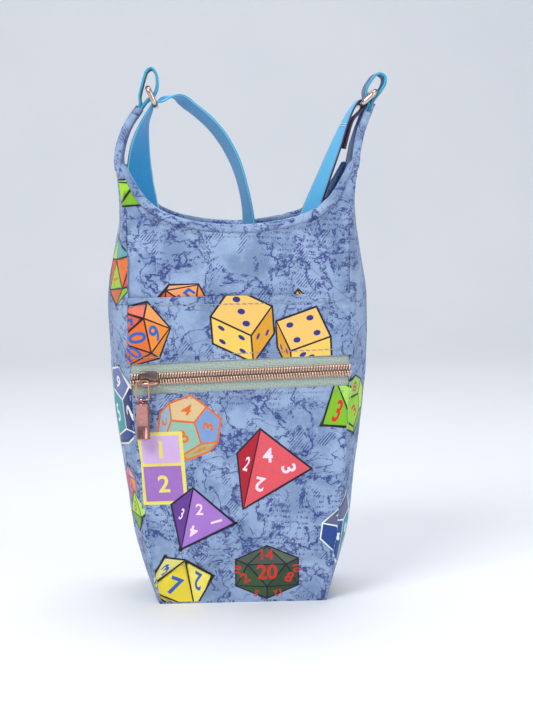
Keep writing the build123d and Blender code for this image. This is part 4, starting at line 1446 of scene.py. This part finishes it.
def webbing(name, route, material, body="bag", replaces=(), step=1.2, thick=WEB_THICK):
    """Flat webbing along a route of (x, y, z, turn), with ribbed faces and beaded edges."""
    stations = smooth_route(route, step)
    points, flat = [], []
    half = WEB_WIDTH / 2
    profile = []
    for k in range(11):
        w = -1 + 2 * k / 10
        profile.append((w, 1.0 if abs(w) < 0.95 else 0.55, k / 10 * 0.98 + 0.01))
    profile += [(w, -h, 1 + v) for w, h, v in profile[::-1]]
    run = 0.0
    for i in range(len(stations)):
        p, across, normal = web_frame(stations, i)
        if i:
            run += np.linalg.norm(p - stations[i - 1][:3])
        bead = 0.10 * math.sin(2 * math.pi * run / 1.3)
        for w, h, v in profile:
            width = half + (bead if abs(w) > 0.95 else 0.0)
            lift = 0.04 * wave(run, w * 10, 7, 61)
            points.append(p + across * (w * width) + normal * (h * thick / 2 + lift))
            flat.append((v * 100, run))
    faces = skin(len(stations), len(profile), flip=True)
    obj = put(name, points, faces, body, material, replaces, "webbing")
    paint(obj, flat)
    return obj


def strap_bar(side):
    """Centre of a ring's lower bar, where the strap turns, from the ring's box."""
    wire = 1.3
    low, high = box(f"ring_{side}")
    return (high.x - wire if side == "left" else low.x + wire), low.z + wire


def round_bar(bar, radius, first, last, steps):
    """Stations of a strap round a bar, between two angles in degrees."""
    angles = [math.radians(first + (last - first) * i / steps) for i in range(steps + 1)]
    return [(bar[0] + radius * math.cos(a), 0, bar[1] + radius * math.sin(a), 0) for a in angles]


FOLD = 1.3 + 0.12 + WEB_THICK / 2
ADJUSTER = tuple((a + b) / 2 / MM for a, b in zip(*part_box("strap_adjuster")))
HIDDEN_Y = 17.5
HANK_TOP = 27


def make_strap():
    x, y, z = ADJUSTER
    pitch, wrap, layer = 11.0, 2.25, 1.55
    bar = strap_bar("left")
    angles = [math.radians(angle) for angle in range(-250, 1, 25)]
    sewn = [(x, y + wrap * math.cos(a), z + wrap * math.sin(a), 90) for a in angles]
    back = y + wrap + layer
    weave_sewn = sewn + [(x, back, z + pitch, 90), (x, back, z + 2 * pitch, 90)]
    weave = [(x, y, z + 2 * pitch, -90)]
    for step, out in ((1, wrap), (0, -wrap - layer), (-1, wrap)):
        for edge in (1.7, -1.7):
            weave.append((x, y + out, z + step * pitch + edge, -90))
    weave.append((x, y, z - 2 * pitch, -90))
    webbing("strap_sewn_end", weave_sewn, WEB_LEFT, "adjuster")
    webbing("strap_weave", weave, WEB_LEFT, "adjuster")
    top = 150
    legs = {
        "strap_hidden_outer": [(x, back, z + 2 * pitch, 90), (-26, 18.5, 135, 84), (-32, 15.5, top, 76)],
        "strap_hidden_inner": [(x, y, z + 2 * pitch, -90), (-6, y - 0.5, 130, -84), (1.5, y - 3, top, -70)],
        "strap_hidden_lower": [(x, y, z - 2 * pitch, -90), (x, HIDDEN_Y, HANK_TOP, -90)],
    }
    for name, route in legs.items():
        leg = webbing(name, route, WEB_LEFT, None)
        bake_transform(leg)
    rise = [(-32, 15.5, top, 76), (-38, 12, 165, 66), (-45.5, 5, 190, 50), (-49, 2, 213, 40),
            (-48.6, 1, 231, 26), (-45.9, 0.4, 243, 10)]
    over = round_bar(bar, FOLD, 172, 72, 6)
    over = [(a, b, c, t - 8 * i / (len(over) - 1)) for i, (a, b, c, t) in enumerate(over)]
    between = ((over[-1][0] - 31) / 2, 0.4, (over[-1][2] + 255.6) / 2 + 0.7, -19)
    fall = [between, (-31, 0.5, 255.6, -22), (-22, 1.5, 250, -23), (-10, 3, 239, -19), (-1, 5, 224, -15),
            (4, 7, 208, -12), (6.5, 9, 191, -16), (4, 14, 160, -42), (1.5, y - 3, top, -70)]
    arch = webbing("strap_left_arch", rise + over + fall, WEB_LEFT, None, ["strap_left_run"])
    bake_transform(arch)
    bar = strap_bar("right")
    tail = [(53, 0, 229, -12), (55.6, 0, 236, -8), (59.4, 0, 243.4, 0)]
    fold_over = round_bar(bar, FOLD, -30, 150, 8)
    down = [(55.4, 0, 241, -6), (51, 0, 230, -12), (45.5, 1.5, 216, -16), (39.5, 4, 200, -21),
            (34, 9, 180, -34), (27, 14, 150, -70), (24, HIDDEN_Y, 110, -90), (24, HIDDEN_Y, HANK_TOP, -90)]
    # the right end's dark navy face and maroon edges, from webbing_right, are painted shade of the fold round
    # the ring
    right = webbing("strap_right_end", tail + fold_over + down, WEB_RIGHT, None, ["strap_right_run"])
    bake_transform(right)
    stations = smooth_route(tail + fold_over + down, 1.2)
    after_fold = max(range(len(stations)), key=lambda i: stations[i][2])
    for k, z in enumerate((241.5, 239.5)):
        here = min(range(after_fold, len(stations)), key=lambda i: abs(stations[i][2] - z))
        p, across, normal = web_frame(stations, here)
        normal = normal if normal[2] > 0 else -normal
        row = [p + across * w + normal * (WEB_THICK / 2 + 0.08) for w in np.linspace(-8.6, 8.6, 12)]
        seam = stitches(f"strap_right_stitching_{k + 1}", row, lambda _: normal, WHITE_THREAD,
                        stitch=1.9, gap=0.7, radius=0.2, body=None)
        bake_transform(seam)
    make_hank()


def make_hank():
    """The spare strap, folded to and fro on its edge."""
    low, high = box("strap_stowed")
    half, pitch, runs = 30.0, 1.7, 7
    route = []
    for k in range(runs):
        y = high.y - WEB_THICK / 2 - pitch * k
        side = 1 if k % 2 == 0 else -1
        route += [(-side * half, y), (0, y), (side * half, y)]
        if k < runs - 1:
            route.append((side * (half + 1.0), y - pitch / 2))
    middle = (low.z + high.z) / 2
    points, flat, run = [], [], 0.0
    path = smooth_route([(x, y, 0, 0) for x, y in route], 2.0)
    reach = (high.z - low.z) / 2
    for i, p in enumerate(path):
        before, after = path[max(i - 1, 0)][:2], path[min(i + 1, len(path) - 1)][:2]
        along = (after - before) / np.linalg.norm(after - before)
        normal = np.array((-along[1], along[0]))
        run += np.linalg.norm(p[:2] - path[i - 1][:2]) if i else 0.0
        for side, t, v in ((-1, -1, 0.0), (1, -1, 0.98), (1, 1, 1.02), (-1, 1, 1.99)):
            q = p[:2] + normal * (t * WEB_THICK * 0.47)
            points.append((q[0], q[1], middle + side * reach))
            flat.append((v * 100, run))
    faces = skin(len(path), 4)
    obj = put("strap_hank", points, faces, "bag", WEB_LEFT, ["strap_stowed"], "webbing", smooth=False)
    paint(obj, flat)


def make_loops():
    for side, sign in (("left", -1), ("right", 1)):
        outer_leg, inner_leg = [], []
        for z in (239.5, 243.5, 247.5, TAB_TOP):
            x = bag.lean(z) + sign * (bag.half(z) - 1.9)
            outer_leg.append((x, 0, z, 0))
            inner_leg.append((x - sign * 1.6, 0, z, 0))
        if side == "left":
            eye = [(-48.2, 255.5), (-47.0, 260.5), (-45.7, 265), (-44.1, 268.5), (-42.0, 269.6),
                   (-40.3, 268.0), (-39.3, 264.0), (-39.6, 259.5), (-41.4, 256.0), (-44.6, 253.4)]
        else:
            eye = [(70.1, 253.4), (73.4, 257.6), (75.4, 261.4), (75.2, 264.4), (73.0, 265.9), (70.6, 265.2),
                   (68.2, 262.4), (66.2, 259.2), (65.6, 256.4), (66.0, 253.6)]
        route = outer_leg + [(a, 0, b, 0) for a, b in eye] + inner_leg[::-1]
        webbing(f"webbing_loop_{side}_woven", route, WEB_LOOP, replaces=[f"webbing_loop_{side}"],
                step=0.8, thick=1.4)


# ---------------------------------------------------------------- room, light and camera
def make_room():
    n = Nodes("floor")
    at = n.add("TexCoord", out=3)
    soft = n.noise(at, 6.0, 3.0)
    n.set(Base_Color=n.mix(soft, srgb("f0f1f4"), srgb("e9ebef")), Roughness=0.55)
    mesh = bpy.data.meshes.new("floor")
    reach, back, height, radius = 9.0, 1.6, 6.0, 0.6
    line = [(-reach, 0.0), (back - radius, 0.0)]
    for k in range(1, 13):
        a = math.pi / 2 * k / 12
        line.append((back - radius + radius * math.sin(a), radius * (1 - math.cos(a))))
    line.append((back, height))
    points = [(x, y, z) for y, z in line for x in (-reach, reach)]
    faces = [(2 * i, 2 * i + 1, 2 * i + 3, 2 * i + 2) for i in range(len(line) - 1)]
    mesh.from_pydata(points, [], faces)
    mesh.polygons.foreach_set("use_smooth", [True] * len(mesh.polygons))
    mesh.materials.append(n.material)
    floor = bpy.data.objects.new("floor", mesh)
    bpy.context.scene.collection.objects.link(floor)


def area_light(name, place, target, size, power, colour):
    lamp = bpy.data.lights.new(name, "AREA")
    lamp.shape, lamp.size, lamp.energy, lamp.color = "DISK", size, power, colour
    obj = bpy.data.objects.new(name, lamp)
    obj.location = place
    obj.rotation_euler = (Vector(target) - Vector(place)).to_track_quat("-Z", "Y").to_euler()
    bpy.context.scene.collection.objects.link(obj)


def make_light():
    world = bpy.data.worlds.new("studio")
    world.use_nodes = True
    background = world.node_tree.nodes["Background"]
    nodes, links = world.node_tree.nodes, world.node_tree.links
    ways = nodes.new("ShaderNodeTexCoord")
    stripes = nodes.new("ShaderNodeTexNoise")
    stripes.inputs["Scale"].default_value = 1.6
    stripes.inputs["Detail"].default_value = 1.0
    contrast = nodes.new("ShaderNodeMapRange")
    for key, value in (("From Min", 0.40), ("From Max", 0.60), ("To Min", 0.55), ("To Max", 1.3)):
        contrast.inputs[key].default_value = value
    tinted = nodes.new("ShaderNodeMix")
    tinted.data_type, tinted.blend_type = "RGBA", "MULTIPLY"
    tinted.inputs[0].default_value = 1.0
    tinted.inputs[6].default_value = (0.84, 0.89, 0.97, 1)
    links.new(ways.outputs["Generated"], stripes.inputs["Vector"])
    links.new(stripes.outputs["Fac"], contrast.inputs["Value"])
    links.new(contrast.outputs[0], tinted.inputs[7])
    links.new(tinted.outputs[2], background.inputs[0])
    background.inputs[1].default_value = 0.72
    bpy.context.scene.world = world
    bpy.context.scene.view_settings.view_transform = "Standard"
    aim = (0.0, 0.0, 0.13)
    area_light("key", (-0.55, -0.75, 1.0), aim, 0.6, 9.5, (1.0, 0.985, 0.95))
    area_light("fill", (0.9, -0.8, 0.5), aim, 0.9, 3.0, (0.95, 0.97, 1.0))
    area_light("top", (0.1, 0.25, 1.1), aim, 0.6, 5.0, (1.0, 1.0, 1.0))


CAMERA_DISTANCE = 0.80
CAMERA_HEIGHT = 0.225
CAMERA_YAW = -2.5
CAMERA_ROLL = -0.6
PICTURE_HEIGHT = 0.35025
SENSOR = 36.0


def make_camera():
    """Looks at the front face from a little above, as far back as the picture's perspective needs."""
    front = -bag.depth(120) * MM
    aim = Vector((0.0130, front, 0.1270))
    yaw = math.radians(CAMERA_YAW)
    away = Vector((math.sin(yaw), -math.cos(yaw), 0))
    place = Vector((aim.x, front, CAMERA_HEIGHT)) + CAMERA_DISTANCE * away
    data = bpy.data.cameras.new("camera")
    data.lens = SENSOR * CAMERA_DISTANCE / PICTURE_HEIGHT
    camera = bpy.data.objects.new("camera", data)
    camera.location = place
    look = (aim - place).to_track_quat("-Z", "Y")
    roll = Euler((0, 0, math.radians(CAMERA_ROLL))).to_quaternion()
    camera.rotation_euler = (look @ roll).to_euler()
    bpy.context.scene.collection.objects.link(camera)
    bpy.context.scene.camera = camera


def finish_nodes():
    """Materials of the CAD nodes that stay in view."""
    wear = {
        "base_board": BOARD, "pull_bail": COPPER, "ring_left": RING_METAL, "ring_right": RING_METAL,
        "strap_adjuster": ADJUSTER_METAL,
    }
    for node, material in wear.items():
        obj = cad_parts[node]
        for slot in obj.material_slots:
            slot.material = material
        if not obj.material_slots:
            obj.data.materials.append(material)


make_camera()
make_light()
make_room()
upper_surface, pocket_surface = make_front()
back_surface = make_back()
left_surface = make_gusset("left", -1, 13)
right_surface = make_gusset("right", 1, 17)
make_linings({"lining_front": upper_surface, "lining_back": back_surface,
              "lining_left": left_surface, "lining_right": right_surface})
make_interlinings(upper_surface, back_surface, left_surface, right_surface)
make_pocket_lining()
make_rims(upper_surface, back_surface)
make_stitching(upper_surface, pocket_surface, back_surface)
make_tab_stitching(left_surface, right_surface)
make_zip()
make_slider()
make_pull()
make_loops()
make_strap()
finish_nodes()
